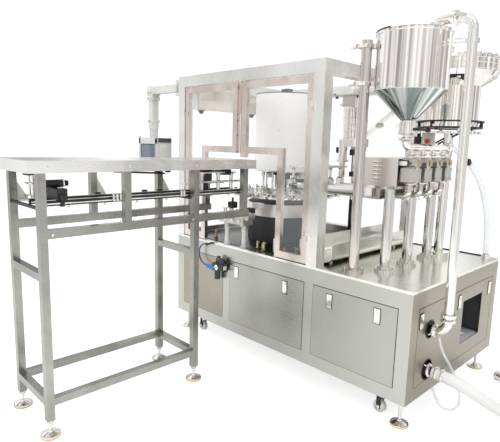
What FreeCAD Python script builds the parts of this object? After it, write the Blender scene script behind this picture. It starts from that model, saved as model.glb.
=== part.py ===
import FreeCAD, Part
import Sketcher
import math
import os
import re

# Rotary spout-pouch filling and capping machine with a four-piston filler.
# Machine coordinates: x runs left from the cabinet's right face (negative), y back from its front
# face, z up from the floor. right_x and front_y shift them to the row's origin.

SIZES = {
    # places of the cabinet's right face and front face in the row frame
    "right_x": 1217.5, "front_y": 122.5,
    # base cabinet
    "cab_long": 2070, "cab_deep": 1230, "cab_low": 157, "cab_top": 785, "deck_top": 800,
    "post": 80, "rail_low": 78, "rail_top": 95, "skin": 3, "gap": 2,
    "panel_z": 235, "panel_top": 690, "left_panel_x": 1430, "mid_post_x": 729, "mid_post": 72,
    "paddle_z": 616, "paddle_wide": 38, "paddle_high": 84, "paddle_rim": 3, "paddle_cup": 6,
    # feet and casters
    "foot_x": 58, "foot_y": 72, "pad_rad": 50, "pad_high": 14, "stem_rad": 9,
    "caster_x": 205, "caster_y": 110, "wheel_rad": 37.5, "wheel_wide": 28, "wheel_z": 39,
    # enclosure on the deck
    "enc_right": 643, "enc_top": 2042, "beam": 80,
    "door_y": 5, "door_thick": 30, "door_low": 806, "door_top": 1955, "door_bar": 45,
    "door_step": 1475, "door_split": 1367, "mullion": 45, "glass": 6,
    "left_strip": 1734, "right_strip": 997,
    "hinge_rad": 4, "hinge_out": 4.3, "hinge_low": 985, "hinge_high": 1774, "knuckle": 30,
    # turret and drum
    "tur_x": 1430, "tur_y": 560, "tur_z": 1149, "disc_rad": 395, "disc_thick": 12,
    "col_rad": 24, "fit": 0.05, "hub_rad": 62, "pouch_rad": 450, "stations": 18,
    "drum_rad": 236, "drum_low": 1336, "drum_top": 1918, "drum_wall": 3,
    "pedestal_rad": 275, "pedestal_top": 1100,
    # capping station
    "cap_x": 1085, "cap_y": 849,
    # filler
    "fill_y": 330, "pitch": 138, "block_x": 285, "block_end": 200,
    "block_low": 1345, "block_top": 1425, "cyl_z": 1388, "cyl_rad": 33, "bore_rad": 28,
    "spool_z": 1455, "spool_rad": 14, "housing_rad": 28,
    "cover_left": 562, "cover_low": 1315, "cover_top": 1478, "column_x": 330, "column_rad": 31,
    "hose_z": 1258, "hose_rad": 16, "tray_low": 1236, "tray_thick": 6, "tray_rear": 812, "bar_gap": 14,
    "manifold_z": 1545, "manifold_rad": 22,
    # hopper
    "hop_x": 245, "hop_y": 255, "hop_rad": 198, "hop_wall": 3, "hop_low": 1855, "hop_top": 2158,
    "lid_pin": 2165.4, "neck_z": 1684, "neck_rad": 30, "valve_z": 1627, "hop_post_x": 455, "hop_post_y": 122,
    "hop_post_rad": 30, "hop_post_top": 2122,
    # supply line
    "riser_x": 95, "riser_y": 232, "supply_z": 542, "pipe_rad": 25, "suction_z": 300,
    # cap feeder
    "bowl_x": 300, "bowl_y": 930, "bowl_low": 1700, "bowl_top": 2100, "bowl_rad": 270,
    # infeed table
    "leg_x": 1244, "leg_far_x": 1646, "leg_y": 1407, "leg_near_y": 470, "leg": 40,
    "hood_low": 1374, "hood_top": 1434, "hood_over": 10, "mag_low": 1050, "mag_top": 1095,
    "rail_z": 1205, "rail_high": 28, "rail_wide": 16,
    # operator panel
    "hmi_x": 2490, "hmi_y": 40, "arm_pivot": 2112, "arm_z": 1965, "arm_tube": 60,
    "hmi_wide": 290, "hmi_deep": 137, "hmi_low": 1360, "hmi_top": 1571,
    # outfeed trough
    "trough_right": 600, "trough_wide": 260, "trough_top": 935, "trough_low": 812,
}

doc = FreeCAD.newDocument("pouch_filler")
sheet = doc.addObject("Spreadsheet::Sheet", "Sizes")
for row, (alias, number) in enumerate(SIZES.items(), start=1):
    sheet.set("A%d" % row, alias)
    sheet.set("B%d" % row, str(number))
    sheet.setAlias("B%d" % row, alias)
doc.recompute()

NODES = []
TURN = {
    "X": FreeCAD.Rotation(FreeCAD.Vector(0, 1, 0), 90),
    "Y": FreeCAD.Rotation(FreeCAD.Vector(1, 0, 0), -90),
    "Z": FreeCAD.Rotation(),
}


def size(alias):
    """A driving dimension as a number, for shapes that Part's own functions make."""
    return float(sheet.get(alias))


def cells(text):
    """Turns aliases in an expression into references to the sheet."""
    return re.sub(r"[a-z][a-z_]+", lambda word: "Sizes." + word.group(0)
                  if word.group(0) in SIZES else word.group(0), str(text))


def bind(thing, prop, text):
    thing.setExpression(prop, cells(text))


def place(thing, x, y, z):
    """Puts an object at machine coordinates given as expressions."""
    bind(thing, "Placement.Base.x", "right_x + (%s)" % x)
    bind(thing, "Placement.Base.y", "front_y + (%s)" % y)
    bind(thing, "Placement.Base.z", "%s" % z)
    return thing


def box(x, y, z, name="bar"):
    """A block between low and high expressions on each axis."""
    thing = doc.addObject("Part::Box", name)
    for prop, (low, high) in (("Length", x), ("Width", y), ("Height", z)):
        bind(thing, prop, "(%s) - (%s)" % (high, low))
    return place(thing, x[0], y[0], z[0])


def rod(x, y, z, rad, long, axis="Z", name="rod"):
    """A cylinder that starts at a point and runs along an axis."""
    thing = doc.addObject("Part::Cylinder", name)
    thing.Placement.Rotation = TURN[axis]
    bind(thing, "Radius", rad)
    bind(thing, "Height", long)
    return place(thing, x, y, z)


def cone(x, y, z, rad_low, rad_high, long, name="cone"):
    thing = doc.addObject("Part::Cone", name)
    bind(thing, "Radius1", rad_low)
    bind(thing, "Radius2", rad_high)
    bind(thing, "Height", long)
    return place(thing, x, y, z)


def fused(pieces, name="fused"):
    thing = doc.addObject("Part::MultiFuse", name)
    thing.Shapes = pieces
    thing.Refine = True
    return thing


def cut(base, tool, name="cut"):
    thing = doc.addObject("Part::Cut", name)
    thing.Base = base
    thing.Tool = tool if not isinstance(tool, list) else fused(tool)
    return thing


def tube(x, y, z, rad, bore, long, axis="Z", name="tube"):
    return cut(rod(x, y, z, rad, long, axis), rod(x, y, z, bore, long, axis), name)


def group(pieces, name="group"):
    thing = doc.addObject("Part::Compound", name)
    thing.Links = pieces
    return thing


def node(label, *pieces):
    """Registers a sub-part: one object, or several separate solids as one group."""
    thing = pieces[0] if len(pieces) == 1 else group(list(pieces), label)
    thing.Label = label
    NODES.append(thing)
    return thing


def sketch_loop(sketch, points):
    """Closed outline whose corners are bound to expressions, as signed distances."""
    first = sketch.GeometryCount
    count = len(points)
    for index in range(count):
        sketch.addGeometry(Part.LineSegment(FreeCAD.Vector(index, index * index, 0),
                                            FreeCAD.Vector(index + 1, index * index + 1, 0)), False)
    for index in range(count):
        sketch.addConstraint(Sketcher.Constraint(
            "Coincident", first + index, 2, first + (index + 1) % count, 1))
    for index, pair in enumerate(points):
        for kind, axis, text in (("DistanceX", -2, pair[0]), ("DistanceY", -1, pair[1])):
            if str(text) == "0":
                sketch.addConstraint(Sketcher.Constraint("PointOnObject", first + index, 1, axis))
                continue
            number = sketch.addConstraint(Sketcher.Constraint(kind, -1, 1, first + index, 1, 1.0))
            sketch.setExpression("Constraints[%d]" % number, cells(text))


def sketch_circle(sketch, x, y, rad):
    item = sketch.addGeometry(Part.Circle(FreeCAD.Vector(1, 1, 0), FreeCAD.Vector(0, 0, 1), 1))
    for kind, text in (("DistanceX", x), ("DistanceY", y)):
        number = sketch.addConstraint(Sketcher.Constraint(kind, -1, 1, item, 3, 1.0))
        sketch.setExpression("Constraints[%d]" % number, cells(text))
    number = sketch.addConstraint(Sketcher.Constraint("Radius", item, 1.0))
    sketch.setExpression("Constraints[%d]" % number, cells(rad))


def new_sketch(name, plane):
    body = doc.addObject("PartDesign::Body", name)
    sketch = body.newObject("Sketcher::SketchObject", name + "_outline")
    face = [item for item in body.Origin.OriginFeatures if item.Role == plane][0]
    sketch.AttachmentSupport = [(face, "")]
    sketch.MapMode = "FlatFace"
    return body, sketch


def turned(name, points, x, y, z):
    """A body of revolution about a vertical line, from (radius, height) corners."""
    body, sketch = new_sketch(name, "XZ_Plane")
    sketch_loop(sketch, points)
    doc.recompute()
    feature = body.newObject("PartDesign::Revolution", name + "_turn")
    feature.Profile = sketch
    feature.ReferenceAxis = (sketch, ["V_Axis"])
    feature.Angle = 360.0
    return place(body, x, y, z)


def plate(name, loops, thick, x, y, z, plane="XZ_Plane", circles=()):
    """A plate cut from outlines; on XZ it grows towards +y, on YZ towards +x, on XY up."""
    body, sketch = new_sketch(name, plane)
    for loop in loops:
        sketch_loop(sketch, loop)
    for circle in circles:
        sketch_circle(sketch, *circle)
    doc.recompute()
    feature = body.newObject("PartDesign::Pad", name + "_pad")
    feature.Profile = sketch
    bind(feature, "Length", thick)
    feature.Reversed = plane == "XZ_Plane"
    return place(body, x, y, z)


def rectangle(x, z):
    return [(x[0], z[0]), (x[1], z[0]), (x[1], z[1]), (x[0], z[1])]


def point(x, y, z):
    return FreeCAD.Vector(x + size("right_x"), y + size("front_y"), z)


def bent_wire(points, share=0.45, most=None):
    """Straight runs joined by tangent arcs, each as large as its two runs allow."""
    edges = []
    start = points[0]
    for before, corner, after in zip(points, points[1:], points[2:]):
        into = (corner - before)
        out = (after - corner)
        short = min(into.Length, out.Length)
        half = into.getAngle(out) / 2
        reach = share * short
        if most is not None:
            reach = min(reach, most * math.tan(half))
        into.normalize()
        out.normalize()
        first = corner - into * reach
        last = corner + out * reach
        centre_way = (out - into)
        centre_way.normalize()
        rad = reach / math.tan(half)
        centre = corner + centre_way * (rad / math.cos(half))
        middle = centre - centre_way * rad
        edges.append(Part.LineSegment(start, first).toShape())
        edges.append(Part.Arc(first, middle, last).toShape())
        RADII.append(rad)
        start = last
    edges.append(Part.LineSegment(start, points[-1]).toShape())
    return Part.Wire(edges)


RADII = []


def swept(points, rad, bore=0.0, name="pipe", share=0.45, most=None):
    """A round pipe or hose along runs and arcs; hollow when a bore is given."""
    del RADII[:]
    path = bent_wire(points, share, most)
    way = points[1] - points[0]

    def solid(section_rad):
        ring = Part.Wire([Part.makeCircle(section_rad, points[0], way)])
        return path.makePipeShell([ring], True, True)

    shape = solid(rad)
    if bore:
        shape = shape.cut(solid(bore))
    if isinstance(shape, Part.Compound) and len(shape.Solids) == 1:
        shape = shape.Solids[0]
    wanted = math.pi * (rad ** 2 - bore ** 2) * path.Length
    print("%-14s length %.0f, least radius %.0f, volume ratio %.4f"
          % (name, path.Length, min(RADII) if RADII else 0, shape.Volume / wanted))
    thing = doc.addObject("Part::Feature", name)
    thing.Shape = shape
    return thing


# ---------------------------------------------------------------- base cabinet
LEFT = "-cab_long"
LEFT_IN = "-cab_long + post"
REAR_IN = "cab_deep - post"
FRONT = ("0", "post")
REAR = (REAR_IN, "cab_deep")


def cabinet_frame():
    bars = []
    for x in ((LEFT, LEFT_IN), ("-post", "0")):
        for y in (FRONT, REAR):
            bars.append(box(x, y, ("cab_low", "cab_top")))
        for z in (("cab_low", "cab_low + rail_low"), ("cab_top - rail_top", "cab_top")):
            bars.append(box(x, ("post", REAR_IN), z))
    for y in (FRONT, REAR):
        for x in (("-mid_post_x", "-mid_post_x + mid_post"),
                  ("-left_panel_x - mid_post", "-left_panel_x")):
            bars.append(box(x, y, ("cab_low", "cab_top")))
        for z in (("cab_low", "cab_low + rail_low"), ("cab_top - rail_top", "cab_top")):
            bars.append(box((LEFT_IN, "-post"), y, z))
    plates = [box(("%s - 42" % x, "%s + 42" % x), ("%s - 42" % y, "%s + 42" % y),
                  ("cab_low - 6", "cab_low")) for x in CASTER_X for y in CASTER_Y]
    pins = [rod(x, y, "cab_low - 26", 6, 20) for x in CASTER_X for y in CASTER_Y]
    node("cabinet_frame", fused(bars), *[fused(list(pair)) for pair in zip(plates, pins)])


CASTER_X = ("-cab_long + caster_x", "-caster_x")
CASTER_Y = ("caster_y", "cab_deep - caster_y")


def deck_plate():
    base = box((LEFT, "0"), ("0", "cab_deep"), ("cab_top", "deck_top"))
    shaft_hole = rod("-tur_x", "tur_y", "cab_top", 60, "deck_top - cab_top")
    node("deck_plate", cut(base, shaft_hole))


def fixed_panels():
    inner_z = ("panel_z + gap", "panel_top - gap")
    front = box(("%s + gap" % LEFT_IN, "-left_panel_x - mid_post - gap"), ("0", "skin"), inner_z)
    left = box((LEFT, "-cab_long + skin"), ("post + gap", "%s - gap" % REAR_IN), inner_z)
    rears = [box(x, ("cab_deep - skin", "cab_deep"), inner_z) for x in (
        ("%s + gap" % LEFT_IN, "-left_panel_x - mid_post - gap"),
        ("-left_panel_x + gap", "-mid_post_x - gap"),
        ("-mid_post_x + mid_post + gap", "-post - gap"))]
    end = plate("end_panel", [
        rectangle(("post + gap", "cab_deep - post - gap"), inner_z),
        rectangle(("676", "980"), ("326", "606"))],
        "skin", "-skin", "0", "0", "YZ_Plane",
        [("riser_y", "supply_z", 52), ("riser_y", "suction_z + 2", 60)])
    pan = box((LEFT_IN, "-post"), ("post", REAR_IN), ("cab_low", "cab_low + skin"))
    node("fixed_panels", front, left, *rears, end, pan)


def levelling_foot(x, y, top):
    pad = rod(x, y, "0", "pad_rad", "pad_high")
    disc = cone(x, y, "pad_high", 44, 16, 14)
    stem = rod(x, y, "pad_high + 14", "stem_rad", "%s - pad_high - 14" % top)
    nut = rod(x, y, "%s - 12" % top, 16, 12)
    return fused([pad, disc, stem, nut])


def levelling_feet():
    feet = [levelling_foot(x, y, "cab_low") for x in ("-cab_long + foot_x", "-foot_x")
            for y in ("foot_y", "cab_deep - foot_y")]
    feet += [levelling_foot(x, y, 90) for x in ("-leg_x", "-leg_far_x")
             for y in ("-leg_y", "-leg_near_y")]
    node("levelling_feet", *feet)


def casters():
    names = ("left_front", "left_rear", "right_front", "right_rear")
    places = [(x, y) for x in CASTER_X for y in CASTER_Y]
    for name, (x, y) in zip(names, places):
        top = cut(rod(x, y, "cab_low - 24", 24, 17), rod(x, y, "cab_low - 24", "6 + fit", 17))
        crown = cut(box(("%s - 24" % x, "%s + 24" % x), ("%s - 24" % y, "%s + 24" % y),
                        ("cab_low - 30", "cab_low - 24")),
                    rod(x, y, "cab_low - 30", 9, 6))
        cheeks = [box(("%s - 13" % x, "%s + 13" % x), (low, high), ("wheel_z - 12", "cab_low - 30"))
                  for low, high in (("%s - 24" % y, "%s - 20" % y), ("%s + 20" % y, "%s + 24" % y))]
        axle = rod(x, "%s - 24" % y, "wheel_z", 5, 48, "Y")
        node("caster_fork_" + name, fused([top, crown, axle] + cheeks))
        tyre = tube(x, "%s - wheel_wide / 2" % y, "wheel_z", "wheel_rad", "5 + fit",
                    "wheel_wide", "Y")
        node("caster_wheel_" + name, tyre)


def front_panel(side, x):
    low, high = x
    leaf = box(("%s + gap" % low, "%s - gap" % high), ("0", "skin"),
               ("panel_z + gap", "panel_top - gap"))
    cups = []
    back = []
    for centre in PADDLES[side]:
        cups.append(box(*around_paddle(centre, "paddle_rim", ("0", "skin"))))
        back.append(box(*around_paddle(centre, "paddle_cup", ("skin", "skin + 14"))))
    node(side + "_panel", fused([cut(leaf, cups)] + back))


def around_paddle(centre, spare, depth):
    """Bounds of a block that is larger than a paddle by a spare width on every side."""
    wide = ("%s - paddle_wide / 2 - %s" % (centre, spare), "%s + paddle_wide / 2 + %s" % (centre, spare))
    tall = ("paddle_z - paddle_high / 2 - %s" % spare, "paddle_z + paddle_high / 2 + %s" % spare)
    return wide, depth, tall


PADDLES = {"left": ("-1358", "-888"), "right": ("-530", "-203")}
END_PADDLES = ("115", "614", "1096")


def paddles():
    tall = ("paddle_z - paddle_high / 2", "paddle_z + paddle_high / 2")
    for side, centres in PADDLES.items():
        node(side + "_paddles", *[
            box(("%s - paddle_wide / 2" % c, "%s + paddle_wide / 2" % c), ("-2", "skin - 0.5"), tall)
            for c in centres])
    node("end_paddles", *[
        box(("0.5", "4.5"), ("%s - paddle_wide / 2" % c, "%s + paddle_wide / 2" % c), tall)
        for c in END_PADDLES])


def supply_pump():
    head = box(("-300", "-150"), ("140", "325"), ("220", "600"))
    foot = box(("-560", "-150"), ("150", "315"), ("cab_low + skin", "220"))
    motor = rod("-560", "riser_y", "320", 88, 260, "X")
    inlet = tube("-150", "riser_y", "suction_z", "pipe_rad", 21, 185, "X")
    barb = tube("-150 + 150", "riser_y", "suction_z", "pipe_rad + 7", "pipe_rad", 14, "X")
    node("supply_pump", fused([head, foot, motor, inlet, barb]))


# ---------------------------------------------------------------- turret drive, disc and drum
def turret_drive():
    gearbox = box(("-tur_x - 150", "-tur_x + 150"), ("tur_y - 150", "tur_y + 150"),
                  (540, "cab_top"))
    motor = rod("-tur_x + 150", "tur_y", 640, 75, 260, "X")
    pedestal = rod("-tur_x", "tur_y", "deck_top", "pedestal_rad", "pedestal_top - deck_top")
    throat = rod("-tur_x", "tur_y", "cab_top", 55, "deck_top - cab_top")
    column = rod("-tur_x", "tur_y", "pedestal_top", "col_rad", "drum_top - drum_wall - pedestal_top")
    cam = rod("-tur_x", "tur_y", 1480, 110, 60)
    node("turret_drive", fused([gearbox, motor, throat, pedestal, column, cam]))


def turret_disc():
    disc = rod("-tur_x", "tur_y", "tur_z", "disc_rad", "disc_thick")
    hub = rod("-tur_x", "tur_y", "pedestal_top + 0.5", "hub_rad", "tur_z - pedestal_top - 0.5")
    bore = rod("-tur_x", "tur_y", "pedestal_top", "col_rad + fit", 200)
    hubbed = cut(fused([disc, hub]), bore)
    pieces = []
    count = int(size("stations"))
    for index in range(count):
        turn = 360.0 * index / count
        pieces.append(radial_box(turn, 340, 455, 26, 1161, 1173))
    for index in range(8):
        pieces.append(radial_rod(45.0 * index + 10, 165, 9, 1161, 1440))
    node("turret_disc", fused([hubbed] + pieces))


def radial_box(turn, near, far, wide, low, high):
    """A bar that points away from the turret's axis at an angle."""
    thing = doc.addObject("Part::Box", "arm")
    thing.Length, thing.Width, thing.Height = far - near, wide, high - low
    thing.Placement.Rotation = FreeCAD.Rotation(FreeCAD.Vector(0, 0, 1), turn)
    sin, cos = math.sin(math.radians(turn)), math.cos(math.radians(turn))
    return place(thing, "-tur_x + %.4f" % (near * cos + wide / 2 * sin),
                 "tur_y + %.4f" % (near * sin - wide / 2 * cos), low)


def radial_rod(turn, reach, rad, low, high):
    sin, cos = math.sin(math.radians(turn)), math.cos(math.radians(turn))
    return rod("-tur_x + %.4f" % (reach * cos), "tur_y + %.4f" % (reach * sin), low, rad, high - low)


def drum_cover():
    inner = "drum_rad - drum_wall"
    node("drum_cover", turned("drum", [
        (inner, "drum_low"), ("drum_rad", "drum_low"), ("drum_rad", "drum_top"),
        ("0", "drum_top"), ("0", "drum_top - drum_wall"), (inner, "drum_top - drum_wall")],
        "-tur_x", "tur_y", "0"))


# ---------------------------------------------------------------- enclosure
def enclosure_frame():
    right = ("-enc_right - beam", "-enc_right")
    left = (LEFT, "-cab_long + beam")
    front = ("0", "beam")
    rear = ("cab_deep - beam", "cab_deep")
    high = ("enc_top - beam", "enc_top")
    across = ("-cab_long + beam", "-enc_right - beam")
    deep = ("beam", "cab_deep - beam")
    bars = [box(x, y, ("deck_top", "enc_top")) for x in (left, right) for y in (front, rear)]
    bars += door_knuckles("-cab_long + beam + 1.5", "-34", "0", "0.5", "knuckle", "0")
    bars += door_knuckles("-enc_right - beam - 1.5", "0", "34", "0.5", "knuckle", "0")
    bars += [box(across, y, high) for y in (front, rear)]
    bars += [box(x, deep, high) for x in (left, right)]
    bars.append(box(across, rear, ("deck_top", "deck_top + 60")))
    bars.append(box(("-cab_long + beam / 4", "-cab_long + beam * 3 / 4"), deep,
                    ("deck_top", "deck_top + 40")))
    mullion = box(("-door_split - mullion / 2", "-door_split + mullion / 2"),
                  ("door_y + door_thick + 3", "beam"), (1445, "enc_top - beam"))
    trunk = box(("-cab_long + 20", "-cab_long + 60"), (110, 830), (1800, "enc_top - beam"))
    lugs = [box(("-arm_pivot - 25", LEFT), ("hmi_y - 25", "hmi_y + 25"), z)
            for z in (("arm_z - 60", "arm_z - 40"), ("arm_z + 40", "arm_z + 60"))]
    pin = rod("-arm_pivot", "hmi_y", "arm_z - 40", 10, 80)
    node("enclosure_frame", fused(bars + [mullion, trunk, pin] + lugs))


def side_glass():
    rear = box(("-cab_long + beam", "-enc_right - beam"), ("cab_deep - 43", "cab_deep - 37"),
               ("deck_top + 60", "enc_top - beam"))
    node("rear_glass", rear)


def door_knuckles(pin, low, high, above, below, back):
    """Half of each of a door's two hinges: a barrel round the pin line and its plate."""
    pieces = []
    for z in ("hinge_low", "hinge_high"):
        start, stop = "%s + %s" % (z, above), "%s + %s" % (z, below)
        pieces.append(rod(pin, "-hinge_out", start, "hinge_rad", "(%s) - (%s)" % (stop, start)))
        pieces.append(box(("%s + %s" % (pin, low), "%s + %s" % (pin, high)), ("-2", back),
                          (start, stop)))
    return pieces


def door_outline(far, strip, margin):
    """L-shaped leaf from its hinge edge; margin insets it for the glazed opening."""
    return [("%s" % margin, "door_low + %s" % margin),
            ("%s - %s" % (strip, margin), "door_low + %s" % margin),
            ("%s - %s" % (strip, margin), "door_step + %s" % margin),
            ("%s - %s" % (far, margin), "door_step + %s" % margin),
            ("%s - %s" % (far, margin), "door_top - %s" % margin),
            ("%s" % margin, "door_top - %s" % margin)]


def mirror(points):
    return [("-(%s)" % x, z) for x, z in points]


def doors():
    sides = (
        ("left", "-cab_long + beam + 2.5", "cab_long - beam - 2.5 - door_split - 24",
         "cab_long - beam - 2.5 - left_strip", list),
        ("right", "-enc_right - beam - 2.5", "door_split - 24 - enc_right - beam - 2.5",
         "right_strip - enc_right - beam - 2.5", mirror))
    pins = {"left": ("-cab_long + beam + 1.5", "0", "40"),
            "right": ("-enc_right - beam - 1.5", "-40", "0")}
    for side, hinge, far, strip, flip in sides:
        outer = flip(door_outline("(%s)" % far, "(%s)" % strip, "0.0"))
        inner = flip(door_outline("(%s)" % far, "(%s)" % strip, "door_bar"))
        leaf = plate(side + "_leaf", [outer, inner], "door_thick", hinge, "door_y", "0")
        pin, low, high = pins[side]
        node(side + "_door", fused([leaf] + door_knuckles(
            pin, low, high, "-knuckle", "-0.5", "door_y")))
        node(side + "_door_glass", plate(side + "_pane", [inner], "glass",
                                         hinge, "door_y + 12", "0"))


# ---------------------------------------------------------------- capping station
def capping_station():
    posts = [rod("-cap_x + 70 + %d" % shift, "cap_y + 60", "deck_top", 21, 740)
             for shift in (0, 62)]
    head = rod("-cap_x + 60", "cap_y + 30", 1600, 78, 230)
    shelf = box(("-cap_x - 20", "-cap_x + 160"), ("cap_y - 30", "cap_y + 100"), (1540, 1600))
    bore = rod("-cap_x", "cap_y", 1500, "34 + fit", 150)
    stem = rod("-cap_x + 60", "cap_y + 30", 1830, 26, "enc_top - beam - 1830 + 10")
    arm = box(("-cap_x + 34", "-enc_right - beam"), ("cap_y + 4", "cap_y + 56"),
              ("enc_top - beam + 10", "enc_top - beam + 50"))
    node("capping_column", cut(fused(posts + [head, shelf, stem, arm]), bore))
    sleeve = rod("-cap_x", "cap_y", 1440, 34, 155)
    flange = rod("-cap_x", "cap_y", 1420, 46, 20)
    quill = rod("-cap_x", "cap_y", 1300, 24, 125)
    core = rod("-cap_x", "cap_y", 1300, "10 + fit", 206)
    node("capping_head", cut(fused([sleeve, flange, quill]), core))
    spindle = rod("-cap_x", "cap_y", 1285, 10, 215)
    chuck = rod("-cap_x", "cap_y", 1245, 20, 50)
    node("capping_spindle", fused([spindle, chuck]))


def cap_feeder():
    bowl = turned("bowl", [
        ("0", "bowl_low"), ("170", "bowl_low"), ("170", "1940"), ("255", "1995"),
        ("bowl_rad", "2025"), ("bowl_rad", "bowl_top"), ("bowl_rad - 5", "bowl_top"),
        ("bowl_rad - 5", "2028"), ("250", "2003"), ("150", "1962"), ("0", "1985")],
        "-bowl_x", "bowl_y", "0")
    disc = rod("-bowl_x", "bowl_y", "bowl_low - 14", 182, 14)
    legs = [rod("-bowl_x + %d" % x, "bowl_y + %d" % y, "bowl_low - 44", 12, 30)
            for x in (-110, 110) for y in (-110, 110)]
    deck = rod("-bowl_x", "bowl_y", "bowl_low - 60", 200, 16)
    column = rod("-bowl_x - 10", "bowl_y + 20", "deck_top", 32, "bowl_low - 60 - deck_top")
    collar = rod("-bowl_x - 10", "bowl_y + 20", "deck_top", 68, 34)
    node("cap_feeder", fused([bowl, disc, deck, column, collar, chute()] + legs))


def chute():
    """Sloping cap chute from the bowl's rim down to the capping head."""
    low = FreeCAD.Vector(-916, 862, 1602)
    high = FreeCAD.Vector(-480, 906, 1968)
    way = high - low
    thing = doc.addObject("Part::Box", "chute")
    thing.Length, thing.Width, thing.Height = way.Length, 44, 24
    thing.Placement.Rotation = FreeCAD.Rotation(FreeCAD.Vector(1, 0, 0), way)
    return place(thing, low.x, low.y, low.z)


# ---------------------------------------------------------------- piston filler
LANES = range(4)


def lane(index):
    return "fill_y + pitch * %d" % index


def filler_stand():
    columns = []
    for y in (270, 540, 815):
        columns.append(rod("-column_x", y, "deck_top", "column_rad", "1300 - deck_top"))
        columns.append(rod("-column_x", y, "deck_top", 62, 16))
        columns.append(rod("-column_x", y, "deck_top + 16", 44, 18))
    bed = box(("-cover_left", "-block_x - 14"), ("240", "850"), ("1300", "cover_low"))
    tray = box(("-1140", "-372"), ("225", "tray_rear"), ("tray_low", "tray_low + tray_thick"))
    cheeks = [box(("-540", "-372"), y, ("tray_low + tray_thick", "1300"))
              for y in (("225", "241"), ("tray_rear - 6", "tray_rear"))]
    blocks = [box(("%.3f - 20" % x, "%.3f + 20" % x), ("%.3f - 20" % y, "%.3f + 20" % y),
                  ("tray_low + tray_thick", "tray_low + 70")) for x, y in NOZZLES]
    bores = [rod("%.3f" % x, "%.3f" % y, "tray_low", "9 + fit", 90) for x, y in NOZZLES]
    node("filler_stand", cut(fused(columns + [bed, tray] + cheeks + blocks), bores))


def nozzle_places():
    reach = size("pouch_rad")
    return [(-size("tur_x") + reach * math.cos(math.radians(turn)),
             size("tur_y") + reach * math.sin(math.radians(turn))) for turn in (-40, -20, 0, 20)]


NOZZLES = nozzle_places()


def nozzles():
    stems = [rod("%.3f" % x, "%.3f" % y, 1240, 9, 160) for x, y in NOZZLES]
    lows = [min(pair[axis] for pair in NOZZLES) for axis in (0, 1)]
    highs = [max(pair[axis] for pair in NOZZLES) for axis in (0, 1)]
    head = box(("%.3f - 22" % lows[0], "%.3f + 22" % highs[0]),
               ("%.3f - 22" % lows[1], "%.3f + 22" % highs[1]), (1385, 1400))
    node("nozzles", fused(stems + [head]))


def piston_cover():
    shell = box(("-cover_left", "-block_x - 3"), ("262", "812"), ("cover_low", "cover_top"))
    inside = box(("-cover_left + 2", "-block_x"), ("264", "810"), ("cover_low - 1", "cover_top - 2"))
    slots = [box(("-448", "-395"), ("250", "266"), (1352 + 24 * step, 1360 + 24 * step))
             for step in range(5)]
    node("piston_cover", cut(shell, [inside] + slots))


def dosing_cylinders():
    node("dosing_cylinders", *[
        tube("-block_x - 140", lane(index), "cyl_z", "cyl_rad", "bore_rad", 140, "X")
        for index in LANES])


def piston_drive():
    pieces = []
    for index in LANES:
        pieces.append(rod("-330", lane(index), "cyl_z", "bore_rad - fit", 25, "X"))
        pieces.append(rod("-475", lane(index), "cyl_z", 8, 150, "X"))
    pieces.append(box(("-488", "-472"), ("300", "775"), ("cyl_z - 16", "cyl_z + 16")))
    node("piston_drive", fused(pieces))


def valve_blocks():
    blocks = []
    for index in LANES:
        y = lane(index)
        body = box(("-block_x", "-block_end"), ("%s - 47" % y, "%s + 47" % y),
                   ("block_low", "block_top"))
        housing = rod("-block_x", y, "spool_z", "housing_rad + 4", "block_x - block_end - 5", "X")
        neck = box(("-block_x", "-block_end - 5"), ("%s - 24" % y, "%s + 24" % y),
                   ("block_top", "spool_z"))
        bore = rod("-block_x - 1", y, "spool_z", "spool_rad + fit", 120, "X")
        blocks.append(cut(fused([body, housing, neck]), bore))
    elbows = [outlet(index) for index in LANES]
    node("valve_blocks", *blocks, *elbows)


def outlet(index):
    y = size("fill_y") + size("pitch") * index
    low = size("hose_z")
    return swept([point(-243, y, size("block_low")), point(-243, y, low), point(-400, y, low)],
                 size("hose_rad"), 12, "outlet_%d" % (index + 1), most=45)


def valve_spools():
    pieces = []
    for index in LANES:
        y = lane(index)
        stem = rod("-block_x - bar_gap", y, "spool_z", "spool_rad",
                   "block_x - block_end + bar_gap + 4", "X")
        knob = rod("-block_end + 4", y, "spool_z", 18, 10, "X")
        pieces.append(fused([stem, knob]))
    bar = box(("-block_x - bar_gap - 6", "-block_x - bar_gap"), ("310", "765"),
              ("spool_z - 10", "spool_z + 10"))
    node("valve_spools", fused(pieces + [bar]))


def infeed_manifold():
    x, y, z = -size("hop_x"), size("hop_y"), size("manifold_z")
    pipe = swept([point(x, y, size("valve_z")), point(x, y, z), point(x, 815, z)],
                 size("manifold_rad"), 0, "manifold_pipe", most=62)
    drops = [rod("-hop_x", lane(index), "spool_z", 15, "manifold_z - spool_z") for index in LANES]
    housings = [rod("-block_x", lane(index), "spool_z", "housing_rad + 4", 90, "X")
                for index in LANES]
    node("infeed_manifold", fused([pipe, cut(fused(drops), housings)]))


def product_hoses():
    runs = []
    for index, (x, y) in enumerate(NOZZLES):
        start = size("fill_y") + size("pitch") * index
        z = size("hose_z")
        runs.append(swept([point(-400, start, z), point(-520, start, z),
                           point(x + 130, y, z), point(x + 20, y, z)],
                          size("hose_rad"), 0, "product_hose_%d" % (index + 1)))
    node("product_hoses", *runs)


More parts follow.
